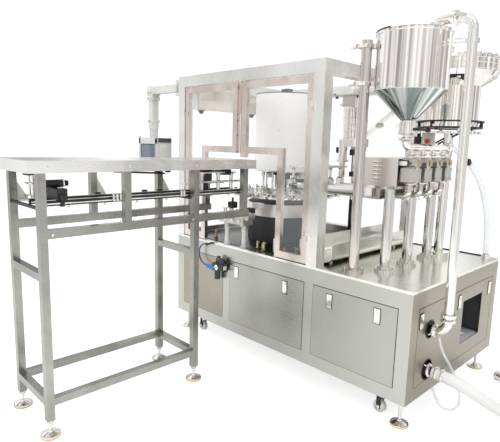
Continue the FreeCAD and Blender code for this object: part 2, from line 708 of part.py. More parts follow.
# ---------------------------------------------------------------- hopper and supply line
def hopper():
    slope = "hop_rad - hop_wall"
    shell = turned("hopper_shell", [
        ("neck_rad - hop_wall", "neck_z - 20"), ("neck_rad", "neck_z - 20"), ("neck_rad", "neck_z"),
        ("hop_rad", "hop_low"), ("hop_rad", "hop_top - 8"), ("hop_rad + 7", "hop_top - 8"),
        ("hop_rad + 7", "hop_top"), (slope, "hop_top"), (slope, "hop_low + 2"),
        ("neck_rad - hop_wall", "neck_z + 2")], "-hop_x", "hop_y", "0")
    lid = rod("-hop_x", "hop_y", "hop_top", "hop_rad + 4", 3)
    half = box(("-hop_x - 260", "-hop_x + 0.5"), ("hop_y - 260", "hop_y + 260"),
               ("hop_top - 1", "hop_top + 10"))
    inlet = rod("-112", "riser_y", "hop_top - 20", "pipe_rad + 10", 60)
    strip = box(("-hop_x + 0.5", "-hop_x + 24"), ("hop_y - 190", "hop_y + 190"),
                ("hop_top", "hop_top + 3"))
    barrels = []
    for low, high in (("31", "91"), ("-91", "-31")):
        barrels += lid_knuckle("0", "16", low, high)
    node("hopper", fused([shell, cut(fused([lid, strip]), [half, inlet])] + barrels))


def lid_knuckle(near, far, low, high):
    """One barrel of the lid's hinge, and the block that joins it to its half of the lid."""
    y = ("hop_y + %s" % low, "hop_y + %s" % high)
    barrel = rod("-hop_x", y[0], "lid_pin", 4, "(%s) - (%s)" % (y[1], y[0]), "Y")
    return [barrel, box(("-hop_x + %s" % near, "-hop_x + %s" % far), y, ("hop_top + 3", "lid_pin"))]


def lid_flap():
    lid = rod("-hop_x", "hop_y", "hop_top + 0.4", "hop_rad + 4", 2.6)
    half = box(("-hop_x - 0.5", "-hop_x + 260"), ("hop_y - 260", "hop_y + 260"),
               ("hop_top - 1", "hop_top + 12"))
    knob = rod("-hop_x - 130", "hop_y", "hop_top + 3", 13, 26)
    node("lid_flap", fused([cut(lid, half), knob] + lid_knuckle("-16", "0", "-30", "30")))


def hopper_post():
    post = rod("-hop_post_x", "hop_post_y", "deck_top", "hop_post_rad", "hop_post_top - deck_top")
    flange = rod("-hop_post_x", "hop_post_y", "deck_top", 62, 14)
    dx = size("hop_post_x") - size("hop_x")
    dy = size("hop_y") - size("hop_post_y")
    turn = math.degrees(math.atan2(dy, dx))
    reach = math.hypot(dx, dy) - size("hop_rad")
    straps = []
    for z in (1880, 2084):
        straps.append(rod("-hop_post_x", "hop_post_y", z, 41, 24))
        arm = doc.addObject("Part::Box", "strap")
        arm.Length, arm.Width, arm.Height = reach, 40, 24
        arm.Placement.Rotation = FreeCAD.Rotation(FreeCAD.Vector(0, 0, 1), turn)
        sin, cos = math.sin(math.radians(turn)), math.cos(math.radians(turn))
        straps.append(place(arm, "-hop_post_x + %.3f" % (20 * sin),
                            "hop_post_y - %.3f" % (20 * cos), z))
    shape = cut(fused([post, flange] + straps), rod("-hop_x", "hop_y", 1860, "hop_rad", 260))
    node("hopper_post", shape)


def supply_pipe():
    x, y = size("riser_x"), size("riser_y")
    node("supply_pipe", swept([
        point(-150, y, size("supply_z")), point(x, y, size("supply_z")),
        point(x - 14, y, 2198), point(-118, y, 2198), point(-118, y, 2080)],
        size("pipe_rad"), 22, "supply_pipe", most=70))


def pipe_clamps():
    low_ring = tube("riser_x - 1", "riser_y", 640, 40, "pipe_rad + 0.3", 16)
    tie = rod("-hop_x + hop_rad", "riser_y", 2076, 4, "riser_x - 13 - 31 + hop_x - hop_rad", "X")
    high_ring = fused([tube("riser_x - 13", "riser_y", 2066, 34, "pipe_rad + 0.3", 20), tie])
    neck_ring = tube("-hop_x", "hop_y", "neck_z - 14", 44, "neck_rad", 14)
    valve_body = tube("-hop_x", "hop_y", "valve_z", 46, "manifold_rad", 37)
    socket = tube("-63", "1157.5", "deck_top", 30, 19, 15)
    node("pipe_clamps", low_ring, high_ring, neck_ring, valve_body, socket)


def valve_lever():
    stem = rod("-hop_x + 46.5", "hop_y", "valve_z + 18", 8, 26, "X")
    arm = box(("-hop_x + 62", "-hop_x + 70"), ("hop_y - 9", "hop_y + 110"),
              ("valve_z + 11", "valve_z + 25"))
    ball = doc.addObject("Part::Sphere", "ball")
    ball.Radius = 15
    place(ball, "-hop_x + 66", "hop_y + 118", "valve_z + 18")
    node("valve_lever", fused([stem, arm, ball]))


# ---------------------------------------------------------------- hoses that hang or lie free
SUCTION = [(35, 232, 300), (125, 237, 292), (197, 262, 266), (255, 306, 224), (303, 360, 176),
           (347, 422, 128), (385, 490, 86), (415, 564, 55), (435, 646, 38), (445, 738, 33),
           (422, 846, 33), (364, 939, 33), (277, 1007, 33), (174, 1045, 33)]
DRAIN = [(55, 232, 512), (62, 241, 460), (75, 263, 410), (91, 292, 360), (107, 322, 308),
         (121, 352, 252), (131, 380, 194), (134, 402, 134), (133, 408, 84), (124, 404, 54),
         (104, 395, 34), (78, 382, 28), (52, 369, 36), (32, 359, 58), (18, 352, 92),
         (3, 348, 126), (-14, 346, 157)]
RETURN = [(-245, 815, 1545), (-243, 880, 1543), (-232, 940, 1526), (-213, 994, 1495),
          (-189, 1040, 1449), (-162, 1078, 1393), (-136, 1107, 1329), (-114, 1128, 1259),
          (-97, 1141, 1185), (-84, 1149, 1109), (-75, 1154, 1032), (-69, 1156, 954),
          (-65, 1157, 877), (-63, 1157.5, 800)]
AIR = [(-1672, -30, 780), (-1702, -31, 776), (-1728, -32, 759), (-1745, -33, 732),
       (-1751, -34, 700), (-1744, -34, 668), (-1725, -33, 641), (-1697, -32, 624),
       (-1664, -31, 617), (-1629, -30, 619), (-1594, -30, 627), (-1560, -30, 637)]


def free_hoses():
    for name, route, rad in (("suction_hose", SUCTION, 33), ("drain_hose", DRAIN, 7),
                             ("return_hose", RETURN, 19), ("air_hose", AIR, 5)):
        node(name, swept([point(*step) for step in route], rad, 0, name))
    last, before = point(*SUCTION[-1]), point(*SUCTION[-2])
    way = last - before
    way.normalize()
    ferrule = swept([last, last + way * 50], 27, 22, "ferrule")
    flange = swept([last + way * 50, last + way * 58], 32, 22, "ferrule_flange")
    node("hose_ferrule", fused([ferrule, flange]))


def air_unit():
    elbow = fused([box(("-1672", "-1650"), ("-38", "-22"), ("772", "788")),
                   rod("-1658", "-30", 780, 6, 30, "Y")])
    body = box(("-1560", "-1450"), ("-58", "-8"), ("612", "662"))
    bowl = rod("-1530", "-33", 540, 22, 72)
    knob = rod("-1480", "-33", 662, 20, 38)
    bracket = box(("-1550", "-1460"), ("-8", "0"), ("600", "680"))
    node("air_unit", elbow, fused([body, bowl, knob, bracket]))


# ---------------------------------------------------------------- infeed table
def table_frame():
    half = "leg / 2"
    bars = []
    xs = ("-leg_x", "-leg_far_x")
    ys = ("-leg_y", "-leg_near_y")

    def square(x, y, z):
        return box(("%s - %s" % (x, half), "%s + %s" % (x, half)),
                   ("%s - %s" % (y, half), "%s + %s" % (y, half)), z)
    for x in xs:
        wide = ("%s - %s" % (x, half), "%s + %s" % (x, half))
        for y in ys:
            bars.append(square(x, y, (90, "hood_top - 2")))
        bars.append(box(wide, ("-leg_y", "-leg_near_y"), (170, 210)))
        bars.append(box(wide, ("-leg_y", "-20"), ("mag_low", "mag_top")))
        for y in ("-943", "-54"):
            bars.append(square(x, y, ("mag_low", "hood_top - 2")))
    for y in ys:
        deep = ("%s - %s" % (y, half), "%s + %s" % (y, half))
        for z in ((170, 210), (835, 875)):
            bars.append(box(("-leg_far_x", "-leg_x"), deep, z))
    node("table_frame", fused(bars))


def table_hood():
    x = ("-leg_far_x - leg / 2 - hood_over", "-leg_x + leg / 2 + hood_over")
    y = ("-leg_y - 68", "30")
    shell = box(x, y, ("hood_low", "hood_top"))
    inside = box(("%s + 2" % x[0], "%s - 2" % x[1]), ("%s + 2" % y[0], "28"),
                 ("hood_low - 1", "hood_top - 2"))
    node("table_hood", cut(shell, inside))


def pouch_rails():
    rails = [box(("%s - rail_wide / 2" % x, "%s + rail_wide / 2" % x), ("-1400", "-6"),
                 ("rail_z", "rail_z + rail_high")) for x in ("-1290", "-1420")]
    ends = [box(("-leg_far_x + leg / 2", "-leg_x - leg / 2"), y,
                ("rail_z - 12", "rail_z")) for y in (("-1420", "-1396"), ("-500", "-480"))]
    node("pouch_rails", fused(rails + ends))


def pusher():
    block = box(("-1440", "-1272"), ("-1316", "-1262"), ("rail_z + rail_high + 0.5", 1290))
    cylinder = rod("-1355", "-1362", 1312, 20, 118, "Y")
    post = box(("-1365", "-1345"), ("-1310", "-1270"), (1285, 1300))
    node("pusher", fused([block, cylinder, post]))


def transfer_unit():
    posts = [rod(x, y, "deck_top", 12, 180) for x, y in (("-1500", "30"), ("-1340", "50"))]
    beam = box(("-1560", "-1290"), ("-8", "86"), (970, 1034))
    node("transfer_unit", fused(posts + [beam]))


def outfeed_trough():
    wall = 4
    low, high = size("trough_low"), size("trough_top")
    wide, soft = size("trough_wide"), 60

    def outline(inset):
        """U section with rounded lower corners, seen along y."""
        left, right = -size("trough_right") - wide + inset, -size("trough_right") - inset
        base, rad = low + inset, soft - inset
        y = 100.0
        k = rad * math.sqrt(0.5)
        pts = [point(left, y, high), point(left, y, base + rad),
               point(left + rad - k, y, base + rad - k), point(left + rad, y, base),
               point(right - rad, y, base), point(right - rad + k, y, base + rad - k),
               point(right, y, base + rad), point(right, y, high)]
        return Part.Wire([
            Part.LineSegment(pts[0], pts[1]).toShape(), Part.Arc(*pts[1:4]).toShape(),
            Part.LineSegment(pts[3], pts[4]).toShape(), Part.Arc(*pts[4:7]).toShape(),
            Part.LineSegment(pts[6], pts[7]).toShape(), Part.LineSegment(pts[7], pts[0]).toShape()])
    along = FreeCAD.Vector(0, 1040, 0)
    shape = Part.Face(outline(0)).extrude(along).cut(Part.Face(outline(wall)).extrude(along))
    thing = doc.addObject("Part::Feature", "trough")
    thing.Shape = shape
    feet = [box((-790, -670), (y, y + 30), ("deck_top", "trough_low")) for y in (180, 980)]
    node("outfeed_trough", fused([thing] + feet))


# ---------------------------------------------------------------- operator panel
def operator_panel():
    half = "arm_tube / 2"
    eye = rod("-arm_pivot", "hmi_y", "arm_z - 39.5", 28, 79)
    beam = box(("-hmi_x - %s" % half, "-arm_pivot"),
               ("hmi_y - %s" % half, "hmi_y + %s" % half), ("arm_z - %s" % half, "arm_z + %s" % half))
    drop = box(("-hmi_x - %s" % half, "-hmi_x + %s" % half),
               ("hmi_y - %s" % half, "hmi_y + %s" % half), (1655, "arm_z - %s" % half))
    ring = rod("-hmi_x", "hmi_y", 1640, 40, 60)
    bore = rod("-arm_pivot", "hmi_y", "arm_z - 60", "10 + fit", 120)
    node("hmi_arm", cut(fused([eye, beam, drop, ring]), bore))
    case = box(("-hmi_x - 79", "-hmi_x - 79 + hmi_wide"), ("hmi_y - 100", "hmi_y - 100 + hmi_deep"),
               ("hmi_low", "hmi_top"))
    neck = rod("-hmi_x", "hmi_y", "hmi_top", 36, "1639.5 - hmi_top")
    node("hmi_housing", fused([case, neck]))


for make in (cabinet_frame, deck_plate, fixed_panels, levelling_feet, casters, paddles,
             supply_pump, turret_drive, turret_disc, drum_cover, enclosure_frame, side_glass,
             doors, capping_station, cap_feeder, filler_stand, nozzles, piston_cover,
             dosing_cylinders, piston_drive, valve_blocks, valve_spools, infeed_manifold,
             product_hoses, hopper, lid_flap, hopper_post, supply_pipe, pipe_clamps, valve_lever,
             free_hoses, air_unit, table_frame, table_hood, pouch_rails, pusher, transfer_unit,
             outfeed_trough, operator_panel):
    make()
front_panel("left", ("-left_panel_x", "-mid_post_x"))
front_panel("right", ("-mid_post_x + mid_post", "-post"))

doc.recompute()
for thing in doc.Objects:
    if "Invalid" in thing.State or "Error" in thing.State:
        raise RuntimeError("failed object: %s %s" % (thing.Label, thing.State))
for thing in NODES:
    if thing.Shape.isNull() or not thing.Shape.isValid():
        raise RuntimeError("bad shape: " + thing.Label)
os.makedirs("parts", exist_ok=True)
for thing in NODES:
    thing.Shape.exportStep("parts/%s.step" % thing.Label)

CORDS = ("suction_hose", "hose_ferrule", "drain_hose", "return_hose", "air_hose")
rigid = FreeCAD.BoundBox()
for thing in NODES:
    if thing.Label not in CORDS:
        rigid.add(thing.Shape.BoundBox)
print("%d nodes, rigid box %s" % (len(NODES), rigid))
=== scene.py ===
"""Looks of the rotary pouch filling and capping machine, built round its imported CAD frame."""
import math

import bmesh
import bpy
from mathutils import Matrix, Vector


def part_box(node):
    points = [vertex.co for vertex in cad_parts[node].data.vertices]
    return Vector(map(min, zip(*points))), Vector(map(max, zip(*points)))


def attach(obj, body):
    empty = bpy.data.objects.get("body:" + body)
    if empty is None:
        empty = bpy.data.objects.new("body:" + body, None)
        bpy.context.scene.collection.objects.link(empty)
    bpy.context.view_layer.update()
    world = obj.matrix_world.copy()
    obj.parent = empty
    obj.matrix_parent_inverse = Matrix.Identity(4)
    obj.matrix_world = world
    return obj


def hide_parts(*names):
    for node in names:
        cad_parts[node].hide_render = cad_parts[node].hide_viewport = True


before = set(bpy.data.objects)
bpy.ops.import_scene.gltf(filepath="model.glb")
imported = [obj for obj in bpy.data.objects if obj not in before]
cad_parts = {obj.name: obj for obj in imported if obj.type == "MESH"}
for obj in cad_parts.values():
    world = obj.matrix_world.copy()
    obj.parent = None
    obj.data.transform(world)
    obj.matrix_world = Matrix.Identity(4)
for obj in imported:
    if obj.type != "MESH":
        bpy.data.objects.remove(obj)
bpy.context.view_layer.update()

# Pieces are placed in machine millimetres: x is negative to the left of the cabinet's right face,
# y runs back from its front face and z runs up from the floor.
MM = 0.001
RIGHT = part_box("deck_plate")[1].x
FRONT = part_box("deck_plate")[0].y


def at(x, y, z):
    return Vector((RIGHT + x * MM, FRONT + y * MM, z * MM))


def edges(node):
    """A CAD node's lowest and highest corner in machine millimetres."""
    low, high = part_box(node)
    return [tuple((corner - at(0, 0, 0)) / MM) for corner in (low, high)]


# Level centres of the turret and of the hopper.
AXIS = (-1430, 560)
HOP = (-245, 255)


# ---------------- camera
EYE = (1106, -2286, 1538)
AZIMUTH, ELEVATION, ROLL = 45.62, 9.13, 1.55
LENS, SENSOR = 34.38, 36.0


def make_camera():
    turn, tilt, roll = (math.radians(value) for value in (AZIMUTH, ELEVATION, ROLL))
    back = Vector((math.sin(turn) * math.cos(tilt), -math.cos(turn) * math.cos(tilt), math.sin(tilt)))
    right = Vector((math.cos(turn), math.sin(turn), 0))
    up = back.cross(right)
    across = right * math.cos(roll) + up * math.sin(roll)
    upright = up * math.cos(roll) - right * math.sin(roll)
    data = bpy.data.cameras.new("camera")
    data.lens, data.sensor_width = LENS, SENSOR
    data.clip_start, data.clip_end = 0.05, 100
    camera = bpy.data.objects.new("camera", data)
    bpy.context.scene.collection.objects.link(camera)
    rotation = Matrix((across, upright, back)).transposed().to_4x4()
    camera.matrix_world = Matrix.Translation(at(*EYE)) @ rotation
    bpy.context.scene.camera = camera


make_camera()


# ---------------- materials
def new_material(name):
    material = bpy.data.materials.new(name)
    material.use_nodes = True
    tree = material.node_tree
    return material, tree, tree.nodes["Principled BSDF"]


def put(tree, socket, value):
    """Links a socket to another node's output, or gives it a value of its own."""
    if isinstance(value, bpy.types.NodeSocket):
        tree.links.new(value, socket)
    else:
        socket.default_value = value


def feed(tree, node, **values):
    """Fills a node's sockets by name; an underscore stands for the space in a socket's name."""
    for name, value in values.items():
        put(tree, node.inputs[name.replace("_", " ")], value)
    return node


def add_node(tree, kind, **values):
    return feed(tree, tree.nodes.new("ShaderNode" + kind), **values)


def calculate(tree, operation, first, second):
    node = tree.nodes.new("ShaderNodeMath")
    node.operation = operation
    put(tree, node.inputs[0], first)
    put(tree, node.inputs[1], second)
    return node.outputs["Value"]


def mix_colours(tree, factor, first, second):
    mix = tree.nodes.new("ShaderNodeMix")
    mix.data_type = "RGBA"
    feed(tree, mix, Factor=factor, A=first, B=second)
    return mix.outputs["Result"]


def mix_shaders(tree, output, factor, first, second):
    """Sends a blend of two shaders to the output node."""
    mix = add_node(tree, "MixShader", Fac=factor)
    put(tree, mix.inputs[1], first)
    put(tree, mix.inputs[2], second)
    feed(tree, tree.nodes[output], Surface=mix.outputs["Shader"])


def shaded(tint, factor):
    return tuple(min(1.0, channel * factor) for channel in tint)


def noise_at(tree, scale, detail=2.0, rough=0.5, warp=0.0):
    """Noise on object coordinates; scale holds cells per metre along each axis."""
    coords = add_node(tree, "TexCoord")
    mapping = add_node(tree, "Mapping", Vector=coords.outputs["Object"], Scale=scale)
    noise = add_node(tree, "TexNoise", Vector=mapping.outputs["Vector"], Scale=1.0,
                     Detail=detail, Roughness=rough, Distortion=warp)
    return noise.outputs["Fac"]


def spread(tree, value, low, high, start=0.3, end=0.7):
    """Maps a value, which for noise lies mostly between 0.3 and 0.7, onto a range of numbers."""
    remap = add_node(tree, "MapRange", Value=value, From_Min=start, From_Max=end,
                     To_Min=low, To_Max=high)
    return remap.outputs["Result"]


def blend_colours(tree, value, dark, light, start=0.3, end=0.7):
    ramp = add_node(tree, "ValToRGB", Fac=value)
    first, last = ramp.color_ramp.elements
    first.position = start
    last.position = end
    first.color = (*dark, 1)
    last.color = (*light, 1)
    return ramp.outputs["Color"]


def add_bump(tree, shader, height, strength, distance):
    bump = add_node(tree, "Bump", Height=height, Strength=strength, Distance=distance)
    feed(tree, shader, Normal=bump.outputs["Normal"])


def steel(name, tint, rough, grain, patch=(1.6, 1.6, 0.7), vary=0.12, wave=0.04, metal=1.0):
    """Stainless steel: brushing lines along the grain, and cloudy patches of tone and gloss."""
    material, tree, shader = new_material(name)
    cloud = noise_at(tree, patch, 3.0, 0.55, 0.4)
    lines = noise_at(tree, grain, 2.0, 0.6)
    tone = blend_colours(tree, cloud, shaded(tint, 1 - vary), shaded(tint, 1 + vary * 0.6))
    gloss = calculate(tree, "ADD", spread(tree, lines, -0.05, 0.07),
                      spread(tree, cloud, rough - 0.04, rough + 0.05))
    feed(tree, shader, Metallic=metal, Base_Color=tone, Roughness=gloss)
    add_bump(tree, shader, lines, wave, 0.0006)
    return material


def polished(name, tint, rough=0.07, wave=0.25, streak=(14, 14, 1.2)):
    """Mirror-polished steel whose rolled sheet is slightly wavy."""
    material, tree, shader = new_material(name)
    swell = noise_at(tree, streak, 1.5, 0.5)
    tone = blend_colours(tree, swell, shaded(tint, 0.82), tint)
    feed(tree, shader, Metallic=1.0, Base_Color=tone,
         Roughness=spread(tree, swell, rough * 0.6, rough * 1.5))
    add_bump(tree, shader, swell, wave, 0.004)
    return material


def plastic(name, tint, rough, grain=700.0, strength=0.08, vary=0.12, coat=0.0):
    """Moulded or painted surface with a fine skin and slight unevenness."""
    material, tree, shader = new_material(name)
    cloud = noise_at(tree, (9, 9, 9), 3.0)
    skin = noise_at(tree, (grain, grain, grain), 2.0)
    tone = blend_colours(tree, cloud, shaded(tint, 1 - vary), shaded(tint, 1 + vary))
    feed(tree, shader, Base_Color=tone, Coat_Weight=coat,
         Roughness=spread(tree, cloud, rough - 0.05, rough + 0.06))
    add_bump(tree, shader, skin, strength, 0.0005)
    return material


def clear(name, tint, alpha, rough, edge_alpha=None):
    """Clear sheet or hose; an edge alpha makes its rim denser, as looking along a wall of hose does."""
    material, tree, shader = new_material(name)
    cloud = noise_at(tree, (6, 6, 6), 2.0)
    feed(tree, shader, Base_Color=blend_colours(tree, cloud, shaded(tint, 0.94), tint),
         Roughness=spread(tree, cloud, rough * 0.7, rough * 1.4), Alpha=alpha)
    if edge_alpha is not None:
        facing = add_node(tree, "LayerWeight", Blend=0.35)
        feed(tree, shader, Alpha=spread(tree, facing.outputs["Facing"], alpha, edge_alpha, 0, 1))
    return material


# The hopper's cone ends at this height, in metres, and its painted reflection fades out over 2 mm there.
WELD_LOW, WELD_HIGH = 1.854, 1.856


def vessel_steel():
    """Mirror steel whose cone, below the weld, has a painted reflection of the dark machine in narrow
    streaks of base colour.
    """
    material = polished("vessel_steel", (1.0, 0.97, 0.95), 0.10, 0.22, (10, 10, 0.8))
    tree = material.node_tree
    shader = tree.nodes["Principled BSDF"]
    wall = shader.inputs["Base Color"].links[0].from_socket
    place = add_node(tree, "TexCoord").outputs["Object"]
    centre = add_node(tree, "Mapping", Vector=place, Location=(-at(*HOP, 0).x, -at(*HOP, 0).y, 0))
    angle = add_node(tree, "TexGradient", Vector=centre.outputs["Vector"])
    angle.gradient_type = "RADIAL"
    # Painted reflection: noise streaks round the cone's axis choose a dark or a light base colour for
    # the cone.
    bands = tree.nodes.new("ShaderNodeTexNoise")
    bands.noise_dimensions = "1D"
    feed(tree, bands, W=angle.outputs["Fac"], Scale=16, Detail=2.0)
    painted_cone_reflection = blend_colours(tree, bands.outputs["Fac"], (0.26, 0.31, 0.30), (0.92, 0.93, 0.90), 0.46, 0.70)
    height = add_node(tree, "SeparateXYZ", Vector=place)
    above = spread(tree, height.outputs["Z"], 0, 1, WELD_LOW, WELD_HIGH)
    feed(tree, shader, Base_Color=mix_colours(tree, above, painted_cone_reflection, wall))
    return material


UP, ALONG, DEEP = (900, 900, 14), (14, 900, 900), (900, 14, 900)


def cabinet_steel():
    """Folded sheet whose end face, turned towards the pump, is painted warmer and darker than its front:
    painted shade and reflection on that side.
    """
    # The cabinet's dim tint is a darker copy of the frame's steel: painted reflection of the darker
    # surroundings low down.
    material = steel("cabinet_steel", (0.565, 0.57, 0.53), 0.33, UP, vary=0.08)
    tree = material.node_tree
    shader = tree.nodes["Principled BSDF"]
    front = shader.inputs["Base Color"].links[0].from_socket
    facing = add_node(tree, "SeparateXYZ", Vector=add_node(tree, "TexCoord").outputs["Normal"])
    # Faces turned towards +X get the darker, warmer colour below: painted shade and reflection on the
    # end side.
    turned = calculate(tree, "GREATER_THAN", facing.outputs["X"], 0.7)
    feed(tree, shader, Base_Color=mix_colours(tree, turned, front, (0.40, 0.375, 0.315, 1)))
    return material


MATERIALS = {
    "cabinet": cabinet_steel(),
    # Darker copy of the steel for the low front panels: painted reflection of the darker surroundings
    # low down.
    "panel": steel("panel_steel", (0.485, 0.49, 0.45), 0.30, ALONG, vary=0.1),
    # The end panels carry the same darker, warmer tone as the cabinet's end face: painted shade and
    # reflection.
    "end": steel("end_shaded_steel", (0.41, 0.385, 0.325), 0.34, DEEP, (2.2, 2.2, 2.2), 0.16),
    "deck": steel("deck_steel", (0.90, 0.90, 0.85), 0.2, ALONG, vary=0.16),
    "frame": steel("frame_steel", (1.0, 0.97, 0.93), 0.26, UP, (2.6, 2.6, 1.3), 0.18),
    "door": steel("door_steel", (0.86, 0.77, 0.72), 0.24, UP, (3.0, 3.0, 1.6), 0.22),
    "table": steel("table_steel", (0.40, 0.40, 0.37), 0.26, UP, (2.2, 2.2, 2.6), 0.30),
    "hood": steel("hood_steel", (1.0, 0.98, 0.95), 0.24, DEEP, (0.8, 2.4, 2.0), 0.22),
    "drum": steel("drum_steel", (1.0, 0.97, 0.96), 0.30, UP, vary=0.05, metal=0.0),
    "cover": steel("cover_steel", (0.88, 0.82, 0.79), 0.34, ALONG, vary=0.08),
    "cast": steel("cast_steel", (0.66, 0.64, 0.60), 0.38, (160, 160, 160), vary=0.14),
    "bright": polished("bright_steel", (1.0, 0.97, 0.93)),
    "mirror": polished("mirror_steel", (0.90, 0.89, 0.87), 0.05, 0.35, (10, 10, 0.8)),
    "vessel": vessel_steel(),
    "column": polished("column_steel", (0.84, 0.82, 0.79), 0.09, 0.15, (20, 20, 0.5)),
    "post": polished("post_steel", (0.72, 0.67, 0.64), 0.09, 0.15, (20, 20, 0.5)),
    # Dark mirror tint for the sheet on the deck round the turret: painted shade and reflection.
    "deck_shade_paint": steel("deck_shade_paint", (0.10, 0.10, 0.10), 0.22, ALONG, vary=0.2),
    "brass": polished("brass", (0.60, 0.48, 0.32), 0.2, 0.1, (60, 60, 60)),
    "white": plastic("white_plastic", (0.76, 0.76, 0.74), 0.42, vary=0.04),
    "case": plastic("case_plastic", (0.53, 0.55, 0.56), 0.38, vary=0.03, coat=0.2),
    "arm": plastic("arm_paint", (0.58, 0.57, 0.54), 0.40, vary=0.05, coat=0.15),
    "beige": plastic("side_plastic", (0.58, 0.57, 0.52), 0.45, vary=0.04),
    "black": plastic("black_plastic", (0.016, 0.016, 0.018), 0.42),
    "dark": plastic("dark_paint", (0.05, 0.05, 0.052), 0.5, 260.0, 0.15),
    "shade": plastic("seam_shadow", (0.03, 0.03, 0.028), 0.8),
    "rubber": plastic("tan_rubber", (0.78, 0.50, 0.27), 0.6, 420.0, 0.2, 0.1),
    "nylon": plastic("nylon_wheel", (0.72, 0.71, 0.66), 0.35, vary=0.05, coat=0.3),
    "red": plastic("red_knob", (0.62, 0.03, 0.03), 0.3, coat=0.4),
    "blue": plastic("blue_tube", (0.01, 0.035, 0.20), 0.32, coat=0.4),
    "azure": plastic("azure_tube", (0.03, 0.22, 0.62), 0.3, coat=0.4),
    "screen": plastic("dark_screen", (0.10, 0.13, 0.16), 0.14, 500.0, 0.01, 0.04, 0.5),
    "hose": plastic("white_hose", (0.72, 0.72, 0.71), 0.36, 300.0, 0.05, 0.03, 0.25),
    "glass": clear("door_glass", (0.80, 0.86, 0.83), 0.07, 0.03),
    "tube": clear("clear_tube", (0.86, 0.91, 0.93), 0.35, 0.12, 0.9),
    "bowl": clear("clear_bowl", (0.86, 0.93, 1.0), 0.45, 0.08, 0.9),
}

NODE_LOOKS = {
    "cabinet": "cabinet_frame",
    "panel": "left_panel right_panel",
    "end": "fixed_panels",
    "deck": "deck_plate outfeed_trough",
    "frame": "enclosure_frame",
    "door": "left_door right_door",
    "table": "table_frame",
    "hood": "table_hood",
    "drum": "drum_cover",
    "cover": "piston_cover",
    "cast": "valve_blocks dosing_cylinders transfer_unit",
    "bright": "supply_pipe pipe_clamps infeed_manifold turret_disc nozzles capping_head "
              "capping_spindle piston_drive hose_ferrule cap_feeder capping_column "
              "left_paddles right_paddles end_paddles levelling_feet",
    "vessel": "hopper",
    "mirror": "lid_flap",
    "column": "filler_stand",
    "post": "hopper_post",
    "brass": "valve_spools",
    "arm": "hmi_arm",
    "case": "hmi_housing",
    "black": "pouch_rails pusher valve_lever caster_fork_left_front caster_fork_left_rear "
             "caster_fork_right_front caster_fork_right_rear",
    "dark": "turret_drive supply_pump air_unit",
    "nylon": "caster_wheel_left_front caster_wheel_left_rear caster_wheel_right_front "
             "caster_wheel_right_rear",
    "glass": "rear_glass left_door_glass right_door_glass",
    "hose": "product_hoses",
}


for look, names in NODE_LOOKS.items():
    for name in names.split():
        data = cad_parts[name].data
        data.materials.clear()
        data.materials.append(MATERIALS[look])


# ---------------- free hoses
SUCTION = [(35, 232, 300), (125, 237, 292), (197, 262, 266), (255, 306, 224), (303, 360, 176),
           (347, 422, 128), (385, 490, 86), (415, 564, 55), (435, 646, 38), (445, 738, 33),
           (422, 846, 33), (364, 939, 33), (277, 1007, 33), (174, 1045, 33)]
DRAIN = [(55, 232, 512), (62, 241, 460), (75, 263, 410), (91, 292, 360), (107, 322, 308),
         (121, 352, 252), (131, 380, 194), (134, 402, 134), (133, 408, 84), (124, 404, 54),
         (104, 395, 34), (78, 382, 28), (52, 369, 36), (32, 359, 58), (18, 352, 92),
         (3, 348, 126), (-14, 346, 157)]
RETURN = [(-245, 815, 1545), (-243, 880, 1543), (-232, 940, 1526), (-213, 994, 1495),
          (-189, 1040, 1449), (-162, 1078, 1393), (-136, 1107, 1329), (-114, 1128, 1259),
          (-97, 1141, 1185), (-84, 1149, 1109), (-75, 1154, 1032), (-69, 1156, 954),
          (-65, 1157, 877), (-63, 1157.5, 800)]
AIR = [(-1672, -30, 780), (-1702, -31, 776), (-1728, -32, 759), (-1745, -33, 732),
       (-1751, -34, 700), (-1744, -34, 668), (-1725, -33, 641), (-1697, -32, 624),
       (-1664, -31, 617), (-1629, -30, 619), (-1594, -30, 627), (-1560, -30, 637)]


def smooth_line(name, route, radius, material):
    """A round hose along one smooth curve that starts and ends at the route's ends."""
    curve = bpy.data.curves.new(name, "CURVE")
    curve.dimensions = "3D"
    spline = curve.splines.new("NURBS")
    spline.points.add(len(route) - 1)
    for control, place in zip(spline.points, route):
        control.co = (*at(*place), 1)
    spline.order_u = 3
    spline.use_endpoint_u = True
    curve.resolution_u = 8
    curve.bevel_depth = radius * MM
    curve.bevel_resolution = 5
    curve.use_fill_caps = True
    curve.materials.append(MATERIALS[material])
    piece = bpy.data.objects.new(name, curve)
    bpy.context.scene.collection.objects.link(piece)
    return piece


def free_hose(name, route, radius, length, material, slot, **facts):
    piece = smooth_line(name + "_line", route, radius, material)
    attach(piece, "machine")
    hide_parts(name)


free_hose("suction_hose", SUCTION, 33, 1.219, "hose", "white_hose", far_end="fitting",
          stiffness="stiff", lay="loose", with_pieces=[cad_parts["hose_ferrule"]])
free_hose("drain_hose", DRAIN, 7, 0.735, "tube", "clear_hose", far_end="object",
          stiffness="medium", lay="hanging")
free_hose("return_hose", RETURN, 19, 0.950, "tube", "clear_hose", far_end="object",
          stiffness="stiff", lay="hanging")
free_hose("air_hose", AIR, 5, 0.362, "blue", "blue_hose", far_end="object",
          stiffness="medium", lay="hanging")


# ---------------- mesh building
SHARP_EDGE = math.radians(35)
X, Y, Z = Vector((1, 0, 0)), Vector((0, 1, 0)), Vector((0, 0, 1))


def span(middle, half):
    return (middle - half, middle + half)


def around(centre, radius, turn, height=0.0):
    """A point on a level circle, with its turn in degrees."""
    lean = math.radians(turn)
    return (centre[0] + radius * math.cos(lean), centre[1] + radius * math.sin(lean), height)


def along(base, way):
    """A frame at a point, with its Z axis along a direction."""
    turn = Z.rotation_difference(Vector(way)).to_matrix().to_4x4()
    return Matrix.Translation(Vector(base)) @ turn


